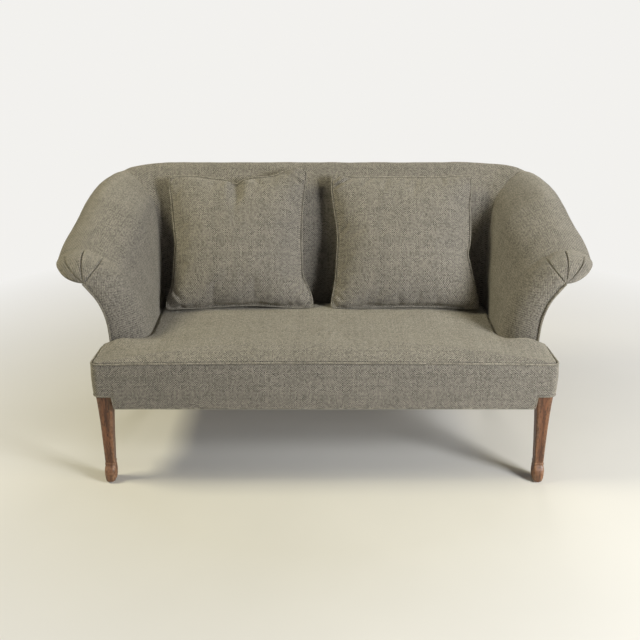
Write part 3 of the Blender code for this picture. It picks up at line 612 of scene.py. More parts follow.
def new_piece(name: str, points: Points, faces: Iterable[Sequence[int]], threads: Points | None = None,
              merge: float = 0.0) -> Piece:
    """Make a closed mesh object whose faces point outwards.

    Args:
        name: name of the piece.
        points: vertex positions.
        faces: vertex indices of each face.
        threads: thread coordinates for each vertex, if the piece is woven.
        merge: distance below which vertices are joined.

    Returns:
        The new object.
    """
    mesh = bpy.data.meshes.new(name)
    mesh.from_pydata(points.reshape(-1, 3).tolist(), [], [list(map(int, f)) for f in faces])
    if threads is not None:
        corners = np.zeros(len(mesh.loops), np.int32)
        mesh.loops.foreach_get("vertex_index", corners)
        layer = mesh.uv_layers.new(name=WEAVE_MAP)
        layer.data.foreach_set("uv", threads.reshape(-1, 2)[corners].astype(np.float32).ravel())
    bm = bmesh.new()
    bm.from_mesh(mesh)
    if merge > 0.0:
        bmesh.ops.remove_doubles(bm, verts=bm.verts[:], dist=merge)
        bmesh.ops.dissolve_degenerate(bm, edges=bm.edges[:], dist=merge * 0.1)
    bmesh.ops.recalc_face_normals(bm, faces=bm.faces[:])
    bm.to_mesh(mesh)
    bm.free()
    mesh.shade_smooth()
    mesh.set_sharp_from_angle(angle=SHARP)
    return add_object(name, mesh)


def padded_band(name: str, outer: Points, inner: Points, threads: Points, merge: float = 0.0) -> Piece:
    """Close the space between a cover and the face behind it.

    Args:
        name: name of the piece.
        outer: grid of points of the cover.
        inner: grid of the same size behind it.
        threads: thread coordinates of the cover's grid.
        merge: distance below which vertices are joined.

    Returns:
        The closed piece.
    """
    rows, columns = outer.shape[:2]
    count = rows * columns
    index = np.arange(count).reshape(rows, columns)
    edge = [*index[0], *index[1:, -1], *index[-1, -2::-1], *index[-2:0:-1, 0]]
    faces = [*grid_faces(rows, columns), *grid_faces(rows, columns, count)[:, ::-1]]
    faces += [(a, b, b + count, a + count) for a, b in zip(edge, edge[1:] + edge[:1])]
    points = np.concatenate([outer.reshape(-1, 3), inner.reshape(-1, 3)])
    return new_piece(name, points, faces, np.concatenate([threads.reshape(-1, 2)] * 2), merge)


@dataclass
class Wardrobe:
    """The finished materials, each made once."""

    tweed: Material
    cord: Material
    walnut: Material
    beech: Material
    sacking: Material
    black_cloth: Material
    steel: Material
    nylon: Material
    floor: Material

    @classmethod
    def stitch_up(cls) -> "Wardrobe":
        """Build every finish of the sofa and its stage.

        Returns:
            The finishes.
        """
        return cls(
            tweed=TweedFinish().build(),
            # Painted highlight: the cord cloth is a lighter copy of the tweed, standing in for the light that catches
            # the round welts and piping.
            cord=TweedFinish(name="welt_tweed_on_bias_painted_highlight", light=(0.445, 0.405, 0.335), pitch=0.0022,
                             threads=ThreadSource.OBJECT).build(),
            walnut=WalnutFinish().build(),
            beech=GrainFinish("sawn_beech", (0.40, 0.26, 0.15), (0.60, 0.43, 0.27), (6.0, 90.0, 90.0),
                              (0.55, 0.75)).build(),
            sacking=LoomFinish("jute_sacking", (0.47, 0.36, 0.22), (0.16, 0.11, 0.06), 0.0030).build(),
            black_cloth=LoomFinish("black_dust_cloth", (0.034, 0.034, 0.036), (0.012, 0.012, 0.013), 0.0024).build(),
            steel=GrainFinish("drawn_spring_steel", (0.26, 0.26, 0.27), (0.46, 0.46, 0.47), (60.0, 8.0, 60.0),
                              (0.28, 0.42), 1.0).build(),
            nylon=GrainFinish("scuffed_nylon", (0.035, 0.032, 0.030), (0.085, 0.078, 0.070), (160.0, 160.0, 160.0),
                              (0.35, 0.60)).build(),
            floor=FloorFinish().build(),
        )


def paint(piece: Piece, material: Material) -> None:
    """Give a piece one material in place of those that it has."""
    piece.data.materials.clear()
    piece.data.materials.append(material)


def dress(piece: Piece, material: Material, replaced: Sequence[str], body: str = "sofa") -> Piece:
    """Give a finished piece its material and its place in the model.

    Args:
        piece: the piece.
        material: its finish.
        replaced: CAD nodes that it stands for.
        body: CAD body that it rides on.

    Returns:
        The same piece.
    """
    paint(piece, material)
    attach(piece, body)
    if replaced:
        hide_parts(*replaced)
    LOG.info("%s: %d faces, for %s", piece.name, len(piece.data.polygons), ", ".join(replaced) or "no solid")
    return piece


class Layer(Enum):
    """The two covers of the tub."""

    PADDING = 0
    OUTSIDE = 1


@dataclass(frozen=True)
class Pleat:
    """One knife pleat on an arm front, laid along a line that runs to the notch."""

    span: int
    share: float
    proud: float
    starts: float
    ramp: float = 15.0
    fold: float = 0.0020
    fold_reach: float = 0.014
    lee: float = 0.0006
    lee_reach: float = 0.010
    groove: float = 0.0080
    groove_width: float = 0.0016

    def height(self, away: Points) -> Points:
        """Height over the smooth cover at a distance from the pleat's line.

        Args:
            away: distance, positive on the side of the fold.

        Returns:
            The height, negative in the groove.
        """
        fold = self.fold * np.exp(-away / self.fold_reach)
        lee = self.lee * np.exp(away / self.lee_reach)
        return np.where(away >= 0.0, fold, lee) - self.groove * np.exp(-(away / self.groove_width) ** 2)


@dataclass(frozen=True)
class TubForm:
    """Shape of the back and the arms, as sections of (out, up) along stations from the back centre to the arm."""

    level: float = 0.440
    half_width: float = 0.566
    back_y: float = 0.120
    corner: float = 0.050
    power: float = 3.6
    arm_front: float = -0.140
    nose_depth: float = 0.105
    tuck: float = -0.0967
    panel_foot: float = -0.173
    panel: float = 0.006
    back_roll: Keys = ((0.062, 0.170), (0.135, 0.350), (0.222, 0.440), (0.275, 0.388), (0.254, 0.330), (0.196, 0.305))
    rear_roll: Keys = ((0.012, 0.160), (0.048, 0.300), (0.174, 0.380), (0.238, 0.344), (0.228, 0.284), (0.174, 0.245))
    arm_roll: Keys = ((0.040, 0.135), (0.118, 0.230), (0.203, 0.264), (0.281, 0.228), (0.260, 0.194), (0.176, 0.187))
    back_panel: Keys = ((0.202, 0.305), (0.174, 0.180), (0.158, 0.080), (0.150, 0.000))
    rear_panel: Keys = ((0.180, 0.245), (0.142, 0.150), (0.120, 0.070), (0.112, 0.000))
    arm_panel: Keys = ((0.182, 0.187), (0.139, 0.127), (0.119, 0.070), (0.112, 0.000))
    roll_steps: tuple[int, ...] = (4, 12, 16, 12, 12, 10, 8)
    panel_steps: tuple[int, ...] = (10, 8, 6, 8)
    pleats: tuple[Pleat, ...] = (Pleat(3, 0.18, 1.0, 5.0), Pleat(3, 0.86, -1.0, 0.0), Pleat(4, 0.50, -1.0, 6.0))
    pleat_marks: tuple[float, ...] = (0.009, 0.022, 0.045, 0.08)
    pleat_clear: float = 0.1
    pleat_squeeze: float = 0.12
    pleat_fade: float = 3.2
    shoulder_shares: tuple[float, ...] = (0.0, 0.125, 0.5, 1.0)
    crease: float = 0.005
    arm_swell: float = 0.022

    def spans(self) -> list[Points]:
        """Places of the section points in each span of the roll, closer together beside the pleats.

        Returns:
            The places in each span, 0 to 1.
        """
        places = []
        for i, count in enumerate(self.roll_steps):
            marks = set(np.round(np.linspace(0.0, 1.0, count + 1)[1:], 4))
            for pleat in self.pleats:
                if pleat.span == i:
                    near = {pleat.share + hand * d for d in (0.0, *self.pleat_marks) for hand in (-1.0, 1.0)}
                    marks = near | {m for m in marks if m == 1.0 or abs(m - pleat.share) > self.pleat_clear}
            places.append(np.array(sorted(m for m in marks if m <= 1.0)))
        return places

    def curves(self, layer: Layer) -> list[Points]:
        """Sections of the back, of the rear corner and of the arm front for one cover.

        Args:
            layer: which cover.

        Returns:
            The three sections as (out, up) rows.
        """
        if layer is Layer.PADDING:
            spans = self.spans()
            return [section_at([(0.0, self.tuck), (0.0, 0.0), *roll], spans)
                    for roll in (self.back_roll, self.rear_roll, self.arm_roll)]
        made = []
        for panel in (self.back_panel, self.rear_panel, self.arm_panel):
            keys = [(panel[0][0], panel[0][1] - FIT), *panel[1:], (panel[-1][0], self.panel_foot)]
            made.append(smooth_curve(keys, self.panel_steps))
        return made

    def columns(self) -> tuple[Points, int, list[int]]:
        """Height shares of the section points towards the shoulder, its column and the columns of the pleats.

        Returns:
            The shares, the shoulder's column and each pleat's column.
        """
        spans = self.spans()
        shares = [0.0]
        for marks, low, high in zip(spans, self.shoulder_shares, self.shoulder_shares[1:]):
            shares += [low + (high - low) * m for m in marks]
        offsets = np.cumsum([0] + [len(marks) for marks in spans])
        shares += [1.0] * int(offsets[-1] + 1 - len(shares))
        lines = [int(offsets[p.span] + 1 + np.argmin(abs(spans[p.span] - p.share))) for p in self.pleats]
        return np.array(shares), int(offsets[len(self.shoulder_shares) - 1]), lines

    def station(self, layer: Layer, t: float, side: int, depth: float = 0.0) -> Points:
        """Points of one section of the tub.

        Args:
            layer: which cover.
            t: 0 at the back centre, 1 to 2 round the rear corner, 3 at the arm front.
            side: -1 for left, 1 for right.
            depth: distance in from the cover.

        Returns:
            The section's points.
        """
        back, rear, arm = self.curves(layer)
        corner_x, corner_y = self.half_width - self.corner, self.back_y - self.corner
        if t >= 2.0:
            share = min(t - 2.0, 1.0)
            section = inset(rear + (arm - rear) * share, depth)
            swell = self.arm_swell * max(0.0, math.sin(math.pi * share * share)) ** 1.5
            return spots(side * (self.half_width + section[:, 0] * (1.0 + swell)),
                         corner_y - (t - 2.0) * (corner_y - self.arm_front), self.level + section[:, 1])
        back, rear = inset(back, depth), inset(rear, depth)
        if t <= 1.0:
            return spots(side * t * corner_x, self.back_y + back[:, 0], self.level + back[:, 1])
        angle = (t - 1.0) * math.pi / 2.0
        sine, cosine = math.sin(angle), math.cos(angle)
        stretch = squircle(sine, cosine, self.power)
        x = corner_x + (self.corner + rear[:, 0]) * stretch * sine
        y = corner_y + (self.corner + back[:, 0]) * stretch * cosine
        z = self.level + back[:, 1] + (rear[:, 1] - back[:, 1]) * (t - 1.0) ** 2
        return spots(side * x, y, z)

    def seam(self, depth: float) -> Points:
        """Outer front edge of an arm as (out, up), from the notch down, at a depth in from the outside cover."""
        return inset(self.curves(Layer.OUTSIDE)[2], depth)

    def seam_at(self, up: Points) -> Points:
        """Points of the outer front edge at given heights."""
        seam = self.seam(self.panel + FIT)[::-1]
        return np.stack([np.interp(up, seam[:, 1], seam[:, 0]), up], axis=1)

    def nose(self, side: int, angle: float, depth: float = 0.0) -> Points:
        """One slice of the domed arm front.

        Args:
            side: -1 for left, 1 for right.
            angle: how far the dome has turned from the arm towards the front.
            depth: distance in from the cover.

        Returns:
            The slice's points.
        """
        face = inset(self.curves(Layer.PADDING)[2], depth)
        shares, _, _ = self.columns()
        top = self.seam(self.panel + FIT)[0, 1]
        anchor = self.seam_at(self.tuck + (top - self.tuck) * shares)
        at = anchor + (face - anchor) * math.cos(angle)
        y = self.arm_front - FIT - (self.nose_depth - FIT - depth) * math.sin(angle)
        return spots(side * (self.half_width + at[:, 0]), y, self.level + at[:, 1])

    def pleat_relief(self, angles: Points, row_step: Points) -> Points:
        """Rise and fall of the pleats over the arm front.

        Args:
            angles: angle of each slice of the dome.
            row_step: place of each section point along the arm's section, in metres.

        Returns:
            Height over the smooth cover for each slice and section point.
        """
        _, _, lines = self.columns()
        relief = np.zeros((len(angles), len(row_step)))
        squeeze = np.maximum(np.cos(angles), self.pleat_squeeze)[:, None]
        for pleat, line in zip(self.pleats, lines):
            on = ease(np.degrees(angles), pleat.starts, pleat.starts + pleat.ramp)[:, None]
            away = (row_step - row_step[line])[None, :] * pleat.proud * squeeze
            relief += on * pleat.height(away) * np.minimum(1.0, squeeze * self.pleat_fade)
        return relief


def section_at(keys: Keys, spans: Sequence[Points]) -> Points:
    """Pass a smooth curve through section points, with chosen places in each span.

    Args:
        keys: points that the curve passes through.
        spans: places between 0 and 1 in each span.

    Returns:
        The curve's points, starting with the first key.
    """
    fine = 400
    whole = smooth_curve(keys, [fine] * len(spans))
    grid = np.linspace(0.0, 1.0, fine + 1)
    picked = [on_path(whole[i * fine:(i + 1) * fine + 1], grid, marks) for i, marks in enumerate(spans)]
    return np.vstack([whole[:1], *picked])


class NodeTree(Nodes):
    """A Geometry Nodes tree with named inputs, whose result is kept as a plain mesh."""

    def __init__(self, name: str, inputs: dict[str, str]) -> None:
        """Start a tree that takes a geometry, further inputs and a material, and gives a geometry.

        Args:
            name: name of the tree.
            inputs: kind of each further input by name.
        """
        super().__init__(bpy.data.node_groups.new(name, "GeometryNodeTree"))
        for label, kind in {"Geometry": "Geometry", **inputs, "Material": "Material"}.items():
            self.tree.interface.new_socket(label, in_out="INPUT", socket_type="NodeSocket" + kind)
        self.tree.interface.new_socket("Result", in_out="OUTPUT", socket_type="NodeSocketGeometry")
        self.given = self.node("NodeGroupInput").outputs
        self.result = self.node("NodeGroupOutput").inputs[0]
        self.path = self.node("GeometryNodeMeshToCurve", {"Mesh": self.given["Geometry"]}).outputs[0]

    def close(self, geometry: Socket) -> None:
        """Realize, give the material and lead to the output.

        Args:
            geometry: what the tree has made.
        """
        real = self.node("GeometryNodeRealizeInstances", {"Geometry": geometry}).outputs[0]
        feeds = {"Geometry": real, "Material": self.given["Material"]}
        self.feed(self.result, self.node("GeometryNodeSetMaterial", feeds).outputs[0])

    def apply(self, name: str, points: Points, closed: bool, values: dict[str, object]) -> Piece:
        """Run the tree on a path and keep its mesh.

        Args:
            name: name of the piece.
            points: points of the path.
            closed: whether the path is a loop.
            values: value of each named input.

        Returns:
            An object with the plain mesh.
        """
        count = len(points)
        edges = [(i, (i + 1) % count) for i in range(count if closed else count - 1)]
        mesh = bpy.data.meshes.new(name + "_path")
        mesh.from_pydata(points.tolist(), edges, [])
        piece = add_object(name, mesh)
        modifier = piece.modifiers.new("nodes", "NODES")
        modifier.node_group = self.tree
        for item in self.tree.interface.items_tree:
            if item.in_out == "INPUT" and item.name in values:
                modifier[item.identifier] = values[item.name]
        depsgraph = bpy.context.evaluated_depsgraph_get()
        result = bpy.data.meshes.new_from_object(piece.evaluated_get(depsgraph), depsgraph=depsgraph)
        piece.modifiers.clear()
        piece.data = result
        result.name = name
        return piece


class CordTree(NodeTree):
    """Sweeps a cloth-covered cord along a path, a little uneven as hand-sewn cord is."""

    SIDES = 10
    UNEVENNESS = 0.22

    def __init__(self) -> None:
        """Build the tree."""
        super().__init__("covered_cord", {"Radius": "Float", "Sides": "Int", "Unevenness": "Float"})
        ring = self.node("GeometryNodeCurvePrimitiveCircle",
                         {"Resolution": self.given["Sides"], "Radius": self.given["Radius"]})
        lumps = self.node("TexNoise", {"Scale": 160.0, "Detail": 1.0}).outputs[0]
        scale = self.math("MULTIPLY_ADD", self.math("SUBTRACT", lumps, 0.5), self.given["Unevenness"], 1.0)
        swept = self.node("GeometryNodeCurveToMesh", {"Curve": self.path, "Profile Curve": ring.outputs[0],
                                                      "Fill Caps": True, "Scale": scale})
        self.close(swept.outputs[0])

    def sew(self, name: str, path: Points, radius: float, material: Material, closed: bool = False) -> Piece:
        """Make one cord.

        Args:
            name: name of the piece.
            path: centre line.
            radius: radius of the covered cord.
            material: cloth of the cover.
            closed: whether the path is a loop.

        Returns:
            The cord as a mesh object.
        """
        cord = self.apply(name, path, closed, {"Radius": radius, "Sides": self.SIDES,
                                               "Unevenness": self.UNEVENNESS, "Material": material})
        cord.data.shade_smooth()
        return cord


@dataclass
class Tub:
    """The upholstered back and arms: sewn covers over padding, outside covers and the arm welts."""

    form: TubForm
    pad: float = 0.028
    welt: float = 0.0032
    softness: float = 0.0011
    seam: float = 0.0019
    sewn_at: float = 1.5
    sewn_reach: float = 0.045
    wave: float = 0.16
    small_wave: float = 0.05
    small_share: float = 0.35

    def soften(self, outer: Points, inner: Points, seed: int) -> Points:
        """Let a cover rise and fall a little over its padding.

        Args:
            outer: grid of the cover.
            inner: grid of the face behind it.
            seed: fixed seed of the unevenness.

        Returns:
            The uneven cover.
        """
        depth = self.softness * ripple(outer, self.wave, seed)
        depth += self.small_share * self.softness * ripple(outer, self.small_wave, seed + 1)
        return outer + cover_normals(outer, inner) * depth[..., None]

    def valley(self, outer: Points, inner: Points, stations: Sequence[float]) -> Points:
        """Draw the covers in where the back and the arms are sewn together.

        Args:
            outer: grid of the cover.
            inner: grid of the face behind it.
            stations: station of each row.

        Returns:
            The cover with its valley.
        """
        near = np.exp(-((np.abs(stations) - self.sewn_at) / self.sewn_reach) ** 2)
        return outer + unit(inner - outer) * (self.form.crease * near)[:, None, None]

    def layers(self, layer: Layer, stations: Sequence[float], side: int, depth: float) -> tuple[Points, Points]:
        """Grids of a cover and of the face behind it.

        Args:
            layer: which cover.
            stations: stations of the rows, signed for the back.
            side: -1 or 1, or 0 where the stations carry the sign.
            depth: distance between the two.

        Returns:
            The grid of the cover and the grid behind it.
        """
        hands = [side or (1 if t >= 0.0 else -1) for t in stations]
        outer, inner = (np.array([self.form.station(layer, abs(t), hand, d) for t, hand in zip(stations, hands)])
                        for d in (0.0, depth))
        return outer, inner

    def across(self, flat: int, turned: int) -> Points:
        """Signed stations over the back, with numbers of steps for its flat part and its corners."""
        half = stops((0.0, 1.0, self.sewn_at - self.seam), (flat, turned))
        return np.concatenate([-half[:0:-1], half])

    def along(self, end: float, turned: int, straight: int) -> Points:
        """Stations along an arm to its end, with numbers of steps for its corner and its straight part."""
        return stops((self.sewn_at + self.seam, 2.0, end), (turned, straight))

    def build_back(self) -> Piece:
        """Make the cover and padding of the back, out to the seams in the rear corners.

        Returns:
            The padded back.
        """
        stations = self.across(36, 22)
        outer, inner = self.layers(Layer.PADDING, stations, 0, self.pad)
        outer = self.soften(self.valley(outer, inner, stations), inner, 11)
        _, shoulder, _ = self.form.columns()
        return padded_band("back_upholstery", outer, inner, thread_map(outer, len(stations) // 2, shoulder))

    def build_arm(self, side: Side) -> Piece:
        """Make the cover and padding of one arm with its pleated front.

        Args:
            side: which arm.

        Returns:
            The padded arm.
        """
        run = self.along(3.0, 22, 30)
        angles = np.radians(np.concatenate([np.linspace(0.0, 80.0, 27)[1:], [82.5, 85.0, 87.0, 88.6, 90.0]]))
        domes = [[self.form.nose(side.value, a, depth) for a in angles] for depth in (0.0, self.pad)]
        smooth, inner = (np.concatenate([grid, dome]) for grid, dome in
                         zip(self.layers(Layer.PADDING, run, side.value, self.pad), domes))
        outer = self.valley(smooth, inner, np.concatenate([run, np.full(len(angles), np.inf)]))
        threads = thread_map(outer, len(run) - 1, self.form.columns()[1])
        relief = np.zeros(outer.shape[:2])
        relief[len(run):] = self.form.pleat_relief(angles, run_length(outer[len(run) - 1]))
        relief[len(run):] *= np.cos(angles)[:, None] ** 0.35
        lifted = cover_normals(outer, inner) * relief[..., None]
        outer = self.soften(outer, inner, 21 + side.value) + lifted
        outer[-1] = smooth[-1]
        return padded_band(side.label("arm_upholstery"), outer, inner, threads, merge=2e-5)

    def build_outside(self, name: str, stations: Sequence[float], side: int, seed: int) -> Piece:
        """Make one outside cover.

        Args:
            name: name of the piece.
            stations: stations that it spans, signed for the back.
            side: -1 or 1, or 0 where the stations carry the sign.
            seed: fixed seed of its unevenness.

        Returns:
            The cover.
        """
        outer, inner = self.layers(Layer.OUTSIDE, stations, side, self.form.panel)
        return padded_band(name, self.soften(outer, inner, seed), inner, thread_map(outer, len(stations) // 2, 0))

    def arm_edge(self, side: Side, foot: float) -> Points:
        """Centre line of the welt up the outer front edge of an arm.

        Args:
            side: which arm.
            foot: height of the seat's edge, where the welt ends.

        Returns:
            The line's points, from the notch down.
        """
        form = self.form
        seam = form.seam(form.panel / 2.0)
        start = foot + self.welt - form.level
        path = np.vstack([seam[seam[:, 1] > start], on_path(seam[::-1], seam[::-1, 1], np.array([start]))])
        y = form.arm_front - form.nose_depth - self.welt - FIT
        return spots(side.value * (form.half_width + path[:, 0]), y, form.level + path[:, 1])

    def build(self, wardrobe: Wardrobe, cords: CordTree, foot: float) -> None:
        """Make and dress every piece of the tub.

        Args:
            wardrobe: the finishes.
            cords: maker of the welts.
            foot: height of the seat's edge, where the arms' welts end.
        """
        form = self.form
        dress(self.build_back(), wardrobe.tweed, ["back_pad"])
        dress(self.build_outside("back_outside_cover", self.across(24, 16), 0, 31), wardrobe.tweed,
              ["outside_back_panel"])
        arm = form.back_y - form.corner - form.arm_front
        along = self.along(2.0 + (arm + form.nose_depth - form.panel / 3.0) / arm, 18, 26)
        for side in Side:
            dress(self.build_arm(side), wardrobe.tweed,
                  [side.label("arm_pad"), side.label("arm_front_pad")])
            dress(self.build_outside(side.label("arm_outside_cover"), along, side.value, 41 + side.value),
                  wardrobe.tweed, [side.label("outside_arm_panel")])
            dress(cords.sew(side.label("arm_edge_welt"), self.arm_edge(side, foot), self.welt, wardrobe.cord),
                  wardrobe.cord, [side.label("arm_welt")])


def fillet(before: Points, corner: Points, after: Points, radius: float, steps: int) -> Points:
    """Points of an arc that rounds one plan corner.

    Args:
        before: a point on the line into the corner.
        corner: the corner.
        after: a point on the line out of it.
        radius: radius of the arc.
        steps: number of steps round it.

    Returns:
        The arc's points.
    """
    first, second = unit(before - corner), unit(after - corner)
    half = math.acos(float(np.clip(first @ second, -1.0, 1.0))) / 2.0
    center = corner + unit(first + second) * radius / math.sin(half)
    start, end = (corner + d * radius / math.tan(half) - center for d in (first, second))
    return center + radius * unit(start + (end - start) * np.linspace(0.0, 1.0, steps + 1)[:, None])


@dataclass(frozen=True)
class SeatForm:
    """Shape of the tight T-shaped seat and its border."""

    edge_z: float = 0.4245
    crown: float = 0.027
    crown_y: float = -0.25
    front_y: float = -0.3935
    ear_half: float = 0.7125
    ear_back_y: float = -0.2465
    ear_back_half: float = 0.703
    ear_return_x: float = 0.683
    front_radius: float = 0.024
    back_radius: float = 0.012
    bow: float = 0.007
    shoulder: float = 0.019
    shoulder_at: tuple[float, float] = (0.64, -0.235)
    shoulder_reach: tuple[float, float] = (0.062, 0.07)
    border: float = 0.008
    swell: float = 0.0028
    low_z: float = 0.2755
    notch_z: float = 0.316
    notch_x: float = 0.647
    notch_y: float = -0.333
    notch_round: float = 0.0035
    deck_z: float = 0.3456
    welt: float = 0.0035
    welt_proud: float = 0.0022
    hem_welt: float = 0.0026
    hem_proud: float = 0.0034

    def half_path(self, depth: float) -> Points:
        """Right half of the border in plan.

        Args:
            depth: distance in from its face.

        Returns:
            Points from the front centre round the ear to the arm.
        """
        centre, front, back, end = np.array([(0.0, self.front_y), (self.ear_half, self.front_y),
                                             (self.ear_back_half, self.ear_back_y),
                                             (self.ear_return_x, self.ear_back_y)])
        path = resample(np.vstack([centre, fillet(centre, front, back, self.front_radius, 14),
                                   fillet(front, back, end, self.back_radius, 12), end]), 0.0024)
        return path + depth * quarter_turn(unit(np.gradient(path, axis=0)))

    def full_path(self, depth: float) -> Points:
        """The whole border in plan, from its left end to its right end."""
        half = self.half_path(depth)
        return np.vstack([half[:0:-1] * (-1.0, 1.0), half])

    def hem(self, path: Points) -> Points:
        """Height of the border's lower edge over a path on its face, with a rounded step at each front leg.

        Args:
            path: points in plan.

        Returns:
            The height at each point.
        """
        over_x = ease(np.abs(path[:, 0]), self.notch_x - self.notch_round, self.notch_x + self.notch_round)
        over_y = 1.0 - ease(path[:, 1], self.notch_y - self.notch_round, self.notch_y + self.notch_round)
        return self.low_z + (self.notch_z - self.low_z) * over_x * over_y

    def top_z(self, x: Points) -> Points:
        """Height of the border's upper edge, below the welt."""
        return self.edge_z - 2.0 * self.welt - 2.0 * FIT + self.lift(x)

    def lift(self, x: Points) -> Points:
        """Height that the seat's bowed front edge adds."""
        return self.bow * (0.6 - (x / self.ear_half) ** 2)

    def plump(self, x: Points, y: Points) -> Points:
        """Height of the filling that the arm fronts push up."""
        (at_x, at_y), (reach_x, reach_y) = self.shoulder_at, self.shoulder_reach
        return self.shoulder * np.exp(-((np.abs(x) - at_x) / reach_x) ** 2 - ((y - at_y) / reach_y) ** 2)

    def outline(self, tub: TubForm, gap: float = 2.0 * FIT) -> Points:
        """Plan of the seat, clear of the border, the arm fronts, the arms and the back.

        Args:
            tub: form of the back and the arms.
            gap: distance kept from them.

        Returns:
            The closed outline, without its first point repeated.
        """
        seam_x = tub.half_width + tub.arm_panel[-1][0] - tub.panel - FIT
        turn = np.linspace(math.pi / 2.0, 0.0, 30)
        nose = np.stack([seam_x - (seam_x - tub.half_width + gap) * np.cos(turn),
                         tub.arm_front - (tub.nose_depth + gap) * np.sin(turn)], axis=1)
        turn = np.linspace(math.pi / 2.0, 0.0, 24)
        spoke = np.stack([np.sin(turn), np.clip(np.cos(turn), 0.0, 1.0)], axis=1)
        reach = (tub.corner - gap) * squircle(*spoke.T, tub.power)
        corner = np.array([tub.half_width, tub.back_y]) - tub.corner + reach[:, None] * spoke
        path = resample(np.vstack([self.half_path(self.border + FIT), nose, corner, (0.0, tub.back_y - gap)]), 0.0042)
        return np.vstack([path, path[-2:0:-1] * (-1.0, 1.0)])


@dataclass
class Seat:
    """The tight seat: crowned cushion, front border and welts."""

    form: SeatForm
    tub: TubForm
    softness: float = 0.0012
    tuck: float = 0.007
    tuck_reach: float = 0.016
    pull_top: float = 0.0007
    pull_face: float = 0.0006
    pull_length: float = 0.031
    pull_reach: float = 0.016
    edge_reach: float = 0.012
    lump: float = 0.17
    small_lump: float = 0.055
    small_share: float = 0.4
    lump_fade: float = 0.05

    def pulls(self, run: Points, wander: float) -> Points:
        """Small gathers that the stitches of the welt draw into the cloth.

        Args:
            run: place along the welt.
            wander: how fast the spacing changes.

        Returns:
            A number from -1 to 1 for each place.
        """
        return np.sin(run * math.tau / self.pull_length + 1.5 * np.sin(run * wander))

    def build_cushion(self) -> Piece:
        """Make the crowned seat, tucked in where it meets the arms and the back.

        Returns:
            The padded seat.
        """
        form = self.form
        rim = form.outline(self.tub)
        middle = np.array([0.0, form.crown_y])
        spokes = rim - middle
        shares = stops((1.0, 0.93, 0.02), (14, 40))[:, None]
        plan = middle + shares[..., None] * spokes
        from_rim = (1.0 - shares) * np.linalg.norm(spokes, axis=1)
        tucked = ease(rim[:, 1], form.ear_back_y - 0.01, form.ear_back_y + 0.03)
        front_edge = np.exp(-((rim[:, 1] - form.front_y) / self.edge_reach) ** 2)
        lumps = ripple(plan, self.lump, 51) + self.small_share * ripple(plan, self.small_lump, 52)
        rise = form.edge_z + form.crown * (1.0 - shares ** 3) + form.lift(plan[..., 0])
        rise += form.plump(plan[..., 0], plan[..., 1])
        rise -= self.tuck * tucked * (1.0 - ease(from_rim, 0.0, self.tuck_reach))
        rise += self.softness * lumps * ease(from_rim, 0.0, self.lump_fade)
        rise -= self.pull_top * self.pulls(rim[:, 0], 23.0) * front_edge * np.exp(-from_rim / self.pull_reach)
        top = np.concatenate([plan, rise[..., None]], axis=2)
        rows = np.concatenate([spots(rim[:, 0], rim[:, 1], form.deck_z)[None], top])
        count, width = rows.shape[:2]
        ends = [(0.0, form.crown_y, top[-1, :, 2].mean()), (0.0, form.crown_y, form.deck_z)]
        points = np.concatenate([rows.reshape(-1, 3), ends])
        crown, sole = count * width, count * width + 1
        faces = list(grid_faces(count, width, wrap=True))
        for i, j in enumerate(np.roll(np.arange(width), -1)):
            faces += [(crown - width + i, crown - width + j, crown), (j, i, sole)]
        threads = points[:, :2].copy()
        threads[:width, 1] -= form.edge_z - form.deck_z
        return new_piece("seat_cushion", points, faces, threads)

    def build_border(self) -> Piece:
        """Make the padded border under the seat's front edge, stepped up over the legs.

        Returns:
            The padded border.
        """
        form = self.form
        face, back = form.full_path(0.0), form.full_path(form.border)
        hem, run = form.hem(face), run_length(face)[:, None]
        up = np.linspace(0.0, 1.0, 15)
        height = hem[:, None] + (form.top_z(face[:, 0]) - hem)[:, None] * up
        place = np.stack(np.broadcast_arrays(run, height), axis=2)
        depth = form.swell * np.sin(np.pi * np.clip(up * 0.94 + 0.03, 0.0, 1.0)) ** 0.7
        depth = depth + self.softness * 0.7 * ripple(place, 0.11, 61) * np.sin(np.pi * up)
        depth -= self.pull_face * self.pulls(run, 19.0) * np.exp(-(1.0 - up) / 0.09)
        out = -quarter_turn(unit(np.gradient(face, axis=0)))
        outer, inner = (spots(flat[..., 0], flat[..., 1], height)
                        for flat in (face[:, None] + out[:, None] * depth[..., None], back[:, None]))
        return padded_band("seat_border", outer, inner, place)

    def hem_path(self, below: float, proud: float) -> Points:
        """Path along the border's lower edge.

        Args:
            below: distance from the edge, downwards.
            proud: distance out from the middle of the border.

        Returns:
            The path's points.
        """
        plan = self.form.full_path(self.form.border / 2.0 - proud)
        run = run_length(plan)
        fine = np.linspace(0.0, run[-1], 6000)
        edge = np.stack([fine, self.form.hem(on_path(plan, run, fine))], axis=1)
        moved = resample(edge - below * quarter_turn(unit(np.gradient(edge, axis=0))), 0.0028)
        return np.column_stack([on_path(plan, run, moved[:, 0]), moved[:, 1]])

    def build(self, wardrobe: Wardrobe, cords: CordTree) -> None:
        """Make and dress the seat, the border and their welts.

        Args:
            wardrobe: the finishes.
            cords: maker of the welts.
        """
        form = self.form
        dress(self.build_cushion(), wardrobe.tweed, ["seat_pad"])
        dress(self.build_border(), wardrobe.tweed, ["front_border"])
        plan = form.full_path(form.border / 2.0 - form.welt_proud)
        upper = np.column_stack([plan, form.top_z(plan[:, 0]) + form.welt + FIT])
        lower = self.hem_path(form.hem_welt + 2.0 * FIT, form.hem_proud)
        for name, path, radius, node in (("seat_edge_welt", upper, form.welt, "seat_top_welt"),
                                         ("border_hem_welt", lower, form.hem_welt, "seat_bottom_welt")):
            dress(cords.sew(name, path, radius, wardrobe.cord), wardrobe.cord, [node])


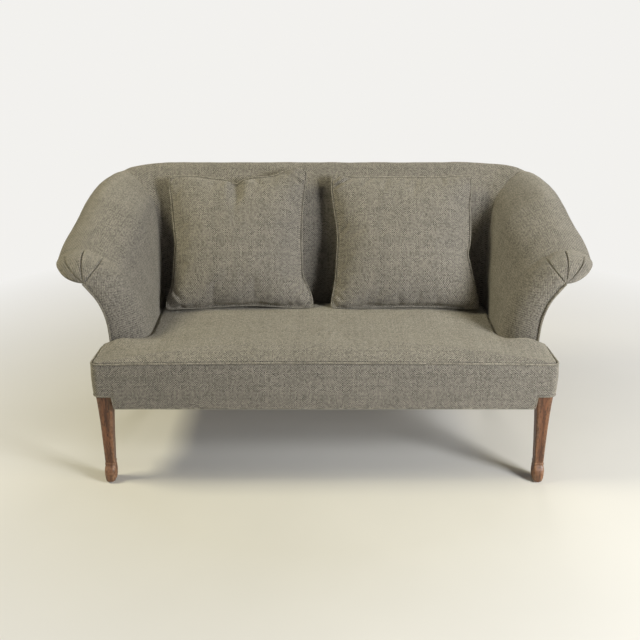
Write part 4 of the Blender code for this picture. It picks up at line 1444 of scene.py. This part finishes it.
@dataclass(frozen=True)
class Crease:
    """One short fold in a pillow's front: a line in its plane that fades to its end."""

    start: tuple[float, float]
    end: tuple[float, float]
    depth: float
    width: float

    def relief(self, x: Points, z: Points) -> Points:
        """Height that the fold adds to the front.

        Args:
            x: places across the pillow.
            z: places up the pillow.

        Returns:
            The height, negative in the fold and positive beside it.
        """
        reach = np.subtract(self.end, self.start)
        share = np.clip(((x - self.start[0]) * reach[0] + (z - self.start[1]) * reach[1]) / (reach @ reach), 0.0, 1.0)
        gap = np.hypot(x - self.start[0] - share * reach[0], z - self.start[1] - share * reach[1]) / self.width
        return self.depth * (1.0 - share ** 2) * (0.4 * np.exp(-(gap - 2.0) ** 2) - np.exp(-gap ** 2))


@dataclass(frozen=True)
class PillowForm:
    """Seam and fullness of one scatter pillow, in its own plane: x across, z up, front towards -y."""

    top: Keys
    right: Keys
    bottom: Keys
    left: Keys
    creases: tuple[Crease, ...]
    crown: float = 0.072
    back_crown: float = 0.050
    edge: float = 0.0020
    lean: float = math.radians(28.5)
    piping: float = 0.0032
    sag: float = 0.012
    sag_from: float = 0.120
    sag_reach: float = 0.085
    sag_clear: float = 0.003
    full: float = 0.018
    fullest: float = 0.030
    low_swell: float = 0.12

    @staticmethod
    def side(keys: Keys, share: Points) -> Points:
        """Points along one side of the seam.

        Args:
            keys: points that the side passes through.
            share: shares of its length, 0 to 1.

        Returns:
            x and z at each share.
        """
        curve = smooth_curve(keys, [8] * (len(keys) - 1))
        run = run_length(curve)
        return on_path(curve, run, share * run[-1])

    def outline(self, a: Points, b: Points) -> Points:
        """Place in the pillow's plane, blended between its four sides.

        Args:
            a: share across, -1 to 1.
            b: share up, -1 to 1.

        Returns:
            x and z of each place.
        """
        u, v = (a + 1.0) / 2.0, (b + 1.0) / 2.0
        low, high, left, right = (self.side(keys, s) for keys, s in
                                  ((self.bottom, u), (self.top, u), (self.left, v), (self.right, v)))
        u, v = u[..., None], v[..., None]
        foot = (1.0 - u) * np.array(self.bottom[0]) + u * np.array(self.bottom[-1])
        head = (1.0 - u) * np.array(self.top[0]) + u * np.array(self.top[-1])
        return (1.0 - v) * (low - foot) + v * (high - head) + (1.0 - u) * left + u * right

    def sheet(self, steps: int, crown: float) -> Points:
        """Grid of points of the front or the back of the pillow.

        Args:
            steps: number of cells along each side.
            crown: how far it swells, negative for the front.

        Returns:
            The points by rows and columns.
        """
        sweep = math.pi / 2.0 * 0.86
        share = np.sin(np.linspace(-1.0, 1.0, steps + 1) * sweep) / math.sin(sweep)
        b, a = np.meshgrid(share, share, indexing="ij")
        swell = crown * np.sqrt(np.clip((1.0 - a * a) * (1.0 - b * b), 0.0, 1.0)) * (1.0 - self.low_swell * b)
        flat = self.outline(a, b)
        return spots(flat[..., 0], math.copysign(self.edge, crown) + swell, flat[..., 1])

    def fold(self, points: Points) -> Points:
        """Press the creases into the front and let the filling sink over the lower seam.

        Args:
            points: points in the pillow's plane.

        Returns:
            The folded points.
        """
        full = ease(-points[:, 1], self.edge, self.full)
        for crease in self.creases:
            points[:, 1] -= full * crease.relief(points[:, 0], points[:, 2])
        low = ease(-points[:, 2], self.sag_from, self.sag_from + self.sag_reach)
        points[:, 2] -= self.sag * low * ease(-points[:, 1], self.edge + self.sag_clear, self.fullest)
        return points

    def rim(self, steps: int) -> Points:
        """Points of the seam round the pillow, as one loop.

        Args:
            steps: number of points along each side.

        Returns:
            x and z of each point.
        """
        share = np.linspace(-1.0, 1.0, steps + 1)[:-1]
        ones = np.ones(steps)
        a = np.concatenate([share, ones, -share, -ones])
        b = np.concatenate([-ones, share, ones, -share])
        return self.outline(a, b)


LEFT_PILLOW = PillowForm(
    top=((-0.246, 0.226), (-0.205, 0.228), (-0.160, 0.227), (-0.118, 0.221), (-0.066, 0.215), (-0.038, 0.208),
         (-0.017, 0.198), (0.004, 0.211), (0.036, 0.220), (0.085, 0.225), (0.115, 0.229), (0.140, 0.240),
         (0.175, 0.251), (0.205, 0.256), (0.222, 0.250)),
    right=((0.243, -0.228), (0.245, -0.210), (0.239, -0.186), (0.225, -0.152), (0.213, -0.127), (0.209, -0.066),
           (0.207, 0.022), (0.210, 0.110), (0.217, 0.181), (0.222, 0.216), (0.222, 0.250)),
    bottom=((-0.247, -0.238), (-0.171, -0.235), (-0.068, -0.225), (0.051, -0.221), (0.171, -0.228), (0.243, -0.228)),
    left=((-0.247, -0.238), (-0.248, -0.222), (-0.243, -0.196), (-0.231, -0.160), (-0.227, -0.118),
          (-0.225, -0.066), (-0.222, -0.006), (-0.227, 0.039), (-0.237, 0.128), (-0.247, 0.199), (-0.246, 0.226)),
    creases=(Crease((-0.017, 0.205), (-0.010, 0.110), 0.018, 0.018),
             Crease((0.222, 0.190), (0.140, 0.246), 0.012, 0.007),
             Crease((-0.234, -0.160), (-0.190, -0.205), 0.010, 0.006),
             Crease((0.226, -0.150), (0.180, -0.190), 0.005, 0.006)))
RIGHT_PILLOW = PillowForm(
    top=((-0.242, 0.228), (-0.214, 0.233), (-0.176, 0.226), (-0.137, 0.225), (-0.043, 0.224), (0.061, 0.224),
         (0.148, 0.225), (0.200, 0.228), (0.235, 0.227)),
    right=((0.250, -0.232), (0.251, -0.215), (0.246, -0.186), (0.235, -0.125), (0.225, -0.075), (0.219, -0.043),
           (0.226, -0.013), (0.229, 0.022), (0.230, 0.092), (0.229, 0.128), (0.236, 0.181), (0.235, 0.227)),
    bottom=((-0.245, -0.229), (-0.201, -0.234), (-0.150, -0.229), (-0.013, -0.226), (0.123, -0.227),
            (0.209, -0.233), (0.250, -0.232)),
    left=((-0.245, -0.229), (-0.243, -0.205), (-0.236, -0.170), (-0.229, -0.118), (-0.226, -0.059), (-0.222, 0.004),
          (-0.226, 0.057), (-0.234, 0.110), (-0.243, 0.181), (-0.242, 0.228)),
    creases=(Crease((-0.246, 0.184), (-0.160, 0.228), 0.011, 0.006),
             Crease((-0.224, 0.010), (-0.185, 0.062), 0.007, 0.006),
             Crease((0.221, -0.043), (0.196, -0.015), 0.009, 0.005),
             Crease((-0.240, -0.180), (-0.200, -0.205), 0.005, 0.006)))


@dataclass
class Pillow:
    """One loose pillow: a cloth cover blown up over its filling, and its piping."""

    side: Side
    form: PillowForm
    tub: TubForm
    seat: SeatForm
    seed: int
    steps: int = 76
    frames: int = 20
    pressure: float = 4.0
    cap: float = 0.016
    slack: float = 0.018
    stiffness: float = 14.0
    shear: float = 5.0
    bending: float = 0.25
    mass: float = 0.25
    off_seat: float = 0.002
    cord_gap: float = 0.0005
    puff: float = 0.0018
    small_puff: float = 0.0007

    def place(self) -> Matrix:
        """Place of the pillow's plane, from the box of its piping in the frame."""
        low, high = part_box(self.side.label("pillow_piping"))
        return Matrix.Translation((low + high) / 2.0) @ Matrix.Rotation(-self.form.lean, 4, "X")

    def cover(self) -> tuple[Piece, list[int]]:
        """Make the flat-lying cover before it is filled.

        Returns:
            The piece in the pillow's own plane, and the vertices of its seam.
        """
        front, back = (self.form.sheet(self.steps, crown) for crown in (-self.form.crown, self.form.back_crown))
        puff = ripple(front, 0.13, self.seed) * self.puff + ripple(front, 0.045, self.seed + 1) * self.small_puff
        front[1:-1, 1:-1, 1] += puff[1:-1, 1:-1]
        piece = padded_band(self.side.label("pillow_cover"), front, back, front[..., [0, 2]])
        return piece, [v.index for v in piece.data.vertices if abs(v.co.y) < self.form.edge * 1.5]

    def fill(self, piece: Piece, seam: list[int]) -> None:
        """Blow the cover up as cloth, with its seam held, and keep the result.

        Args:
            piece: the cover.
            seam: vertices that stay in place.
        """
        piece.vertex_groups.new(name="seam").add(seam, 1.0, "REPLACE")
        cloth = piece.modifiers.new("filling", "CLOTH")
        wanted = {"quality": 6, "mass": self.mass, "tension_stiffness": self.stiffness,
                  "compression_stiffness": self.stiffness, "shear_stiffness": self.shear,
                  "bending_stiffness": self.bending, "use_pressure": True, "uniform_pressure_force": self.pressure,
                  "vertex_group_mass": "seam", "shrink_min": -self.slack}
        for key, value in wanted.items():
            setattr(cloth.settings, key, value)
        cloth.settings.effector_weights.gravity = 0.0
        cloth.point_cache.frame_start, cloth.point_cache.frame_end = 1, self.frames
        rest = np.array([v.co for v in piece.data.vertices])
        for number in range(1, self.frames + 1):
            bpy.context.scene.frame_set(number)
        depsgraph = bpy.context.evaluated_depsgraph_get()
        blown = np.array([v.co for v in piece.evaluated_get(depsgraph).data.vertices])
        bpy.context.scene.frame_set(1)
        piece.modifiers.clear()
        piece.vertex_groups.clear()
        move = blown - rest
        size = np.linalg.norm(move, axis=1, keepdims=True)
        move_to(piece, rest + move * np.minimum(1.0, self.cap / np.maximum(size, 1e-9)))

    def settle(self, points: Points, lift: float) -> Points:
        """Press the pillow flat where it rests on the back and on the seat.

        Args:
            points: points in the sofa's frame.
            lift: distance kept from the back and the seat.

        Returns:
            The settled points.
        """
        roll = self.tub.curves(Layer.PADDING)[0]
        _, shoulder, _ = self.tub.columns()
        wall = np.interp(points[:, 2] - self.tub.level, roll[:shoulder, 1], roll[:shoulder, 0])
        points[:, 1] = np.minimum(points[:, 1], self.tub.back_y + wall - lift)
        share = np.clip((points[:, 1] - self.seat.crown_y) / (self.tub.back_y - self.seat.crown_y), 0.0, 1.0)
        floor = self.seat.edge_z + self.seat.crown * (1.0 - share ** 3) + self.seat.lift(points[:, 0]) + lift
        points[:, 2] = np.maximum(points[:, 2], floor)
        return points

    def piping_path(self) -> Points:
        """Centre line of the piping, just outside the seam, in the pillow's own plane.

        Returns:
            The line's points, as a loop.
        """
        loop = self.form.rim(80)
        first, second = unit(loop - np.roll(loop, 1, axis=0)), unit(np.roll(loop, -1, axis=0) - loop)
        loop = loop - quarter_turn(unit(first + second)) * self.form.piping * 0.85
        for _ in range(2):
            loop = (np.roll(loop, 1, axis=0) + 2.0 * loop + np.roll(loop, -1, axis=0)) / 4.0
        return spots(loop[:, 0], 0.0, loop[:, 1])

    def build(self, wardrobe: Wardrobe, cords: CordTree) -> None:
        """Make, fill, settle and dress the pillow and its piping.

        Args:
            wardrobe: the finishes.
            cords: maker of the piping.
        """
        piece, seam = self.cover()
        self.fill(piece, seam)
        spot = np.array(self.place())
        turn, shift = spot[:3, :3].T, spot[:3, 3]
        points = self.form.fold(np.array([v.co for v in piece.data.vertices]))
        move_to(piece, self.settle(points @ turn + shift, self.off_seat))
        body = self.side.label("pillow")
        smoother = piece.modifiers.new("smooth", "SUBSURF")
        smoother.levels = smoother.render_levels = 1
        dress(piece, wardrobe.tweed, [self.side.label("pillow")], body)
        path = self.settle(self.piping_path() @ turn + shift, self.form.piping + self.cord_gap)
        cord = cords.sew(self.side.label("pillow_cord"), path, self.form.piping, wardrobe.cord, closed=True)
        dress(cord, wardrobe.cord, [self.side.label("pillow_piping")], body)


@dataclass(frozen=True)
class LegForm:
    """Sizes of the legs, and of the scroll, the bead and the wear on them."""

    front_x: float = 0.678
    front_top: float = 0.053
    front_face_y: float = -0.385
    foot_x: float = 0.683
    ankle_y: float = -0.371
    toe_y: float = -0.386
    ankle_width: float = 0.0295
    ankle_depth: float = 0.036
    ankle_z: float = 0.066
    bead_height: float = 0.007
    bead_proud: float = 0.0016
    foot_width: float = 0.037
    foot_depth: float = 0.054
    border_z: float = 0.312
    rail_top_z: float = 0.343
    rear_x: float = 0.6125
    rear_y: float = 0.2125
    rear_top: float = 0.045
    rear_foot: float = 0.028
    rear_rake: float = 0.070
    rear_straight_z: float = 0.262
    sole_z: float = 0.0043
    square: float = 7.0
    bead_square: float = 6.0
    eye: tuple[float, float] = (0.019, 0.026)
    scroll_radius: float = 0.0185
    scroll_pitch: float = 0.0062
    scroll_width: float = 0.0011
    scroll_depth: float = 0.0016
    scroll_top: float = 0.004
    flank: float = 0.36
    worn_z: tuple[float, float] = (0.03, 0.085)
    worn_bead: float = 0.005
    foot_keys: tuple = ((0.0, 0.72, 0.72, 0.86, 3.6), (0.06, 0.86, 0.82, 0.93, 3.4), (0.18, 0.97, 0.93, 0.98, 3.2),
                        (0.48, 1.0, 1.0, 1.0, 3.2), (0.74, 0.76, 0.98, 0.90, 3.6), (0.92, 0.24, 0.88, 0.75, 4.6),
                        (1.0, 0.04, 0.82, 0.68, 5.0))


@dataclass
class Legs:
    """Four turned-in wooden legs; the front ones end in a bead and a carved scroll foot."""

    form: LegForm
    points: int = 64

    def ring(self, x: float, front_y: float, width: float, depth: float, z: float, power: float) -> Points:
        """Rounded square section of a leg.

        Args:
            x: centre across.
            front_y: front face.
            width: size across.
            depth: size front to back.
            z: height.
            power: squareness of the corners.

        Returns:
            Points of the section with their corner share as a fourth column.
        """
        angle = math.tau * (np.arange(self.points) + 0.5) / self.points
        sine, cosine = np.sin(angle), np.cos(angle)
        reach = squircle(sine, cosine, power)
        corner = np.clip(2.0 * np.abs(sine * cosine), 0.0, 1.0) ** 6
        return np.column_stack([spots(x + cosine * reach * width / 2.0,
                                      front_y + depth / 2.0 + sine * reach * depth / 2.0, z), corner])

    def front_rings(self, side: Side) -> Points:
        """Sections of a front leg from its foot over the bead and up its flared taper.

        Args:
            side: which leg.

        Returns:
            The sections with their corner shares, from the sole up.
        """
        f = self.form
        foot_x = side.value * f.foot_x
        toe = f.ankle_z - f.bead_height - f.sole_z
        keys = np.array(f.foot_keys)
        fine = [smooth_curve(keys[:, [0, k]], [24] * (len(keys) - 1))[:, 1] for k in range(5)]
        rings = []
        for share in np.linspace(0.0, 1.0, 44):
            ahead, width, depth, power = (np.interp(share, fine[0], column) for column in fine[1:])
            front = f.ankle_y + (f.toe_y - f.ankle_y) * ahead
            rings.append(self.ring(foot_x, front, f.foot_width * width, f.foot_depth * depth,
                                   f.sole_z + toe * share * 0.985, power))
        for turn in np.linspace(0.0, math.pi, 11):
            proud = f.bead_proud * (0.15 + 0.85 * math.sin(turn))
            z = f.ankle_z - f.bead_height * (0.5 + 0.5 * math.cos(turn))
            rings.append(self.ring(foot_x, f.ankle_y - proud, f.ankle_width + 2.0 * proud,
                                   f.ankle_depth + 2.0 * proud, z, f.bead_square))
        for share in np.linspace(0.012, 1.0, 46):
            grow = 0.55 * share + 0.45 * share ** 4
            rings.append(self.ring(side.value * (f.foot_x + (f.front_x - f.foot_x) * share),
                                   f.ankle_y + (f.front_face_y - f.ankle_y) * share,
                                   f.ankle_width + (f.front_top - f.ankle_width) * grow,
                                   f.ankle_depth + (f.front_top - f.ankle_depth) * share,
                                   f.ankle_z + (f.border_z - f.ankle_z) * share, f.square))
        rings.append(self.ring(side.value * f.front_x, f.front_face_y, f.front_top, f.front_top, f.rail_top_z,
                               f.square))
        return np.array(rings)

    def carve(self, rings: Points, side: Side) -> Points:
        """Cut the scroll into both flanks of a front foot.

        Args:
            rings: sections of the leg.
            side: which leg.

        Returns:
            The carved sections.
        """
        f = self.form
        off = rings[..., 1:3] - (f.toe_y + f.eye[0], f.sole_z + f.eye[1])
        radius = np.linalg.norm(off, axis=-1)
        laps = ((np.arctan2(off[..., 1], off[..., 0]) + math.pi / 2.0) % math.tau) / math.tau
        lines = [f.scroll_radius - f.scroll_pitch * (laps + lap) for lap in (0.0, 1.0)]
        depth = np.max([np.exp(-((radius - line) / f.scroll_width) ** 2) for line in lines], axis=0)
        out = rings[..., 0] - side.value * f.foot_x
        on = (rings[..., 2] < f.ankle_z - f.bead_height - f.scroll_top) & (np.abs(out) > f.foot_width * f.flank)
        cut = rings.copy()
        cut[..., 0] -= np.sign(out) * f.scroll_depth * depth * on
        return cut

    def rear_rings(self, side: Side) -> Points:
        """Sections of a rear leg: a square taper raked back below the seat rails.

        Args:
            side: which leg.

        Returns:
            The sections with their corner shares, from the sole up.
        """
        f = self.form
        x = side.value * f.rear_x
        rings = []
        for share in np.linspace(0.0, 1.0, 30):
            width = f.rear_foot + (f.rear_top - f.rear_foot) * share
            middle = f.rear_y + f.rear_rake * (1.0 - share) ** 1.5
            z = f.sole_z + (f.rear_straight_z - f.sole_z) * share
            rings.append(self.ring(x, middle - width / 2.0, width, width, z, f.square))
        rings.append(self.ring(x, f.rear_y - f.rear_top / 2.0, f.rear_top, f.rear_top, f.rail_top_z, f.square))
        return np.array(rings)

    def loft(self, name: str, rings: Points) -> Piece:
        """Skin a leg and mark where it is worn.

        Args:
            name: name of the piece.
            rings: sections with their corner share.

        Returns:
            The leg.
        """
        f = self.form
        count, width = rings.shape[:2]
        ends = [range(width - 1, -1, -1), range((count - 1) * width, count * width)]
        leg = new_piece(name, rings[..., :3], [*grid_faces(count, width, wrap=True), *ends])
        low = 1.0 - ease(rings[..., 2], *f.worn_z)
        bead = np.exp(-((rings[..., 2] - f.ankle_z + f.bead_height / 2.0) / f.worn_bead) ** 2)
        rub = np.clip(0.85 * rings[..., 3] + 0.55 * low + 0.5 * bead, 0.0, 1.0)
        layer = leg.data.attributes.new(WEAR, "FLOAT", "POINT")
        layer.data.foreach_set("value", rub.ravel().astype(np.float32))
        return leg

    def build(self, wardrobe: Wardrobe) -> None:
        """Make and dress the four legs.

        Args:
            wardrobe: the finishes.
        """
        for side in Side:
            front, rear = self.carve(self.front_rings(side), side), self.rear_rings(side)
            for name, rings, node in (("front_scroll_leg", front, "front_leg"), ("rear_raked_leg", rear, "rear_leg")):
                dress(self.loft(side.label(name), rings), wardrobe.walnut, [side.label(node)])


class StapleTree(NodeTree):
    """Drives staples along a path at a given spacing."""

    def __init__(self) -> None:
        """Build the tree."""
        super().__init__("staple_row", {"Spacing": "Float", "Width": "Float", "Wire": "Float"})
        points = self.node("GeometryNodeCurveToPoints", {"Curve": self.path, "Length": self.given["Spacing"]},
                           mode="LENGTH").outputs
        wire = self.given["Wire"]
        size = self.node("CombineXYZ", {"X": wire, "Y": wire, "Z": self.given["Width"]}).outputs[0]
        staple = self.node("GeometryNodeMeshCube", {"Size": size}).outputs[0]
        jitter = self.node("FunctionNodeRandomValue", {"Min": (-0.16, 0.0, 0.0), "Max": (0.16, 0.0, 0.0), "Seed": 7},
                           data_type="FLOAT_VECTOR").outputs[0]
        placed = self.node("GeometryNodeInstanceOnPoints", {"Points": points["Points"], "Instance": staple,
                                                            "Rotation": points["Rotation"]}).outputs[0]
        turned = self.node("GeometryNodeRotateInstances",
                           {"Instances": placed, "Rotation": jitter, "Local Space": True})
        self.close(turned.outputs[0])


@dataclass
class Underside:
    """The dust cover stapled under the seat frame, and the finishes of what stays as the frame has it."""

    half: float = 0.6288
    back_half: float = 0.581
    front_y: float = -0.373
    step_y: float = 0.181
    back_y: float = 0.228
    top_z: float = 0.2722
    thick: float = 0.0012
    sag: float = 0.007
    front_rail: float = 0.02
    side_rail: float = 0.025
    staple_inset: float = 0.007
    staple_gap: float = 0.042
    staple_width: float = 0.010
    staple_wire: float = 0.0009
    staple_drop: float = 0.0004

    def build_cover(self) -> Piece:
        """Make the cloth under the seat, hanging a little between the rails.

        Returns:
            The sheet as a thin closed piece.
        """
        x = stops((-self.half, -self.back_half, self.back_half, self.half), (4, 61, 4))
        y = stops((self.front_y, self.step_y, self.back_y), (40, 5))
        grid_y, grid_x = np.meshgrid(y, x, indexing="ij")
        across = np.sin(np.pi * np.clip(np.abs(grid_x) / (self.half - self.side_rail), 0.0, 1.0))
        span = self.back_y - self.front_y - 2.0 * self.front_rail
        along = np.sin(np.pi * np.clip((grid_y - self.front_y - self.front_rail) / span, 0.0, 1.0))
        folds = 1.0 + 0.3 * ripple(np.stack([grid_x, grid_y], axis=-1), 0.2, 81)
        lower = spots(grid_x, grid_y, self.top_z - self.thick - self.sag * across * along * folds)
        upper = lower + (0.0, 0.0, self.thick)
        quads = grid_faces(*grid_x.shape)
        middle_x = np.abs(grid_x.ravel()[quads]).mean(axis=1)
        middle_y = grid_y.ravel()[quads].mean(axis=1)
        quads = quads[~((middle_x > self.back_half) & (middle_y > self.step_y))]
        count = grid_x.size
        edges: dict[tuple[int, int], tuple[int, int] | None] = {}
        for quad in quads:
            for a, b in zip(quad, np.roll(quad, -1)):
                key = (min(a, b), max(a, b))
                edges[key] = None if key in edges else (a, b)
        rim = [(a, b, b + count, a + count) for a, b in filter(None, edges.values())]
        used = np.unique(quads)
        index = np.full(2 * count, -1)
        index[np.concatenate([used, used + count])] = np.arange(2 * len(used))
        points = np.concatenate([lower.reshape(-1, 3), upper.reshape(-1, 3)])[index >= 0]
        faces = [index[list(f)] for f in [*quads, *(quads[:, ::-1] + count), *rim]]
        return new_piece("dust_cloth", points, faces)

    def build(self, wardrobe: Wardrobe, staples: StapleTree) -> None:
        """Make and dress the dust cover with its staples, and finish the solids that stay.

        Args:
            wardrobe: the finishes.
            staples: maker of the staples.
        """
        cover = dress(self.build_cover(), wardrobe.black_cloth, ["dust_cover"])
        wide, narrow, step, back = (size - self.staple_inset for size in
                                    (self.half, self.back_half, self.step_y, self.back_y))
        corners = np.array([(wide, self.front_y + self.staple_inset), (wide, step), (narrow, step), (narrow, back)])
        loop = np.vstack([corners, corners[::-1] * (-1.0, 1.0)])
        path = spots(loop[:, 0], loop[:, 1], self.top_z - self.thick - self.staple_drop)
        row = staples.apply("dust_cloth_staples", path, True,
                            {"Spacing": self.staple_gap, "Width": self.staple_width, "Wire": self.staple_wire,
                             "Material": wardrobe.steel})
        dress(row, wardrobe.steel, [])
        kinds = (("glide", wardrobe.nylon), ("hessian", wardrobe.sacking), ("spring", wardrobe.steel))
        for name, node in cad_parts.items():
            if node.hide_render:
                continue
            finish = next((m for key, m in kinds if key in name), wardrobe.beech)
            paint(node, finish)
            LOG.info("%s keeps its solid, finished in %s", name, finish.name)


@dataclass(frozen=True)
class Softbox:
    """One square area lamp of the studio."""

    name: str
    at: tuple[float, float, float]
    size: float
    power: float
    tint: Colour

    def build(self, aim: tuple[float, float, float]) -> None:
        """Hang the lamp and turn it to a point.

        Args:
            aim: point that it faces.
        """
        light = bpy.data.lights.new(self.name, "AREA")
        light.size, light.energy, light.color = self.size, self.power, self.tint
        lamp = add_object(self.name, light)
        lamp.location = self.at
        lamp.rotation_euler = (Vector(aim) - Vector(self.at)).to_track_quat("-Z", "Y").to_euler()


@dataclass
class Studio:
    """Floor, lamps and camera."""

    camera_at: tuple[float, float, float] = (-0.014, -2.883, 1.558)
    pitch: float = math.radians(21.73)
    focal_px: float = 907.1
    image_px: float = 640.0
    floor_half: float = 70.0
    lamps: tuple[Softbox, ...] = (Softbox("right_softbox", (2.45, -2.05, 1.70), 0.9, 106.0, (0.945, 0.972, 1.0)),
                                  Softbox("left_softbox", (-2.40, -0.45, 2.90), 0.9, 76.0, (1.0, 0.945, 0.68)),
                                  Softbox("high_softbox", (2.30, -1.10, 2.78), 0.9, 24.0, (1.0, 0.935, 0.68)),
                                  Softbox("rear_softbox", (0.60, 2.90, 2.10), 1.2, 31.0, (1.0, 0.98, 0.94)))
    aim: tuple[float, float, float] = (0.0, -0.05, 0.45)
    sky: Colour = (0.89, 0.88, 0.855)
    sky_strength: float = 0.085

    def build(self, wardrobe: Wardrobe) -> None:
        """Set up the floor, the light and the camera.

        Args:
            wardrobe: the finishes.
        """
        scene = bpy.context.scene
        scene.view_settings.view_transform = "Standard"
        mesh = bpy.data.meshes.new("studio_floor")
        corners = ((-1.0, -1.0), (1.0, -1.0), (1.0, 1.0), (-1.0, 1.0))
        mesh.from_pydata([(x * self.floor_half, y * self.floor_half, 0.0) for x, y in corners], [], [(0, 1, 2, 3)])
        mesh.materials.append(wardrobe.floor)
        floor = add_object("studio_floor", mesh)
        for lamp in self.lamps:
            lamp.build(self.aim)
        self.light_sky(scene)
        view = bpy.data.cameras.new("camera")
        view.sensor_width = 36.0
        view.lens = self.focal_px * view.sensor_width / self.image_px
        scene.camera = add_object("camera", view)
        scene.camera.location = self.camera_at
        scene.camera.rotation_euler = (math.pi / 2.0 - self.pitch, 0.0, 0.0)

    def light_sky(self, scene: bpy.types.Scene) -> None:
        """Light the scene softly all round, with a near-white background to the camera.

        Args:
            scene: scene to light.
        """
        scene.world = bpy.data.worlds.new("studio")
        scene.world.use_nodes = True
        nodes = Nodes(scene.world.node_tree)
        sky = nodes.tree.nodes["Background"].inputs
        nodes.feed(sky["Color"], (*self.sky, 1.0))
        nodes.feed(sky["Strength"], nodes.spread(nodes.in_view(), 0.0, 1.0, self.sky_strength, 1.0))


def main() -> None:
    """Build the dressed sofa."""
    logging.basicConfig(level=logging.INFO, format="%(name)s: %(message)s")
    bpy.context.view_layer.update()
    wardrobe = Wardrobe.stitch_up()
    tub, seat = TubForm(), SeatForm()
    cords = CordTree()
    Studio().build(wardrobe)
    Legs(LegForm()).build(wardrobe)
    Seat(seat, tub).build(wardrobe, cords)
    Tub(tub).build(wardrobe, cords, seat.edge_z)
    Pillow(Side.LEFT, LEFT_PILLOW, tub, seat, seed=71).build(wardrobe, cords)
    Pillow(Side.RIGHT, RIGHT_PILLOW, tub, seat, seed=75).build(wardrobe, cords)
    Underside().build(wardrobe, StapleTree())


if __name__ == "__main__":
    main()
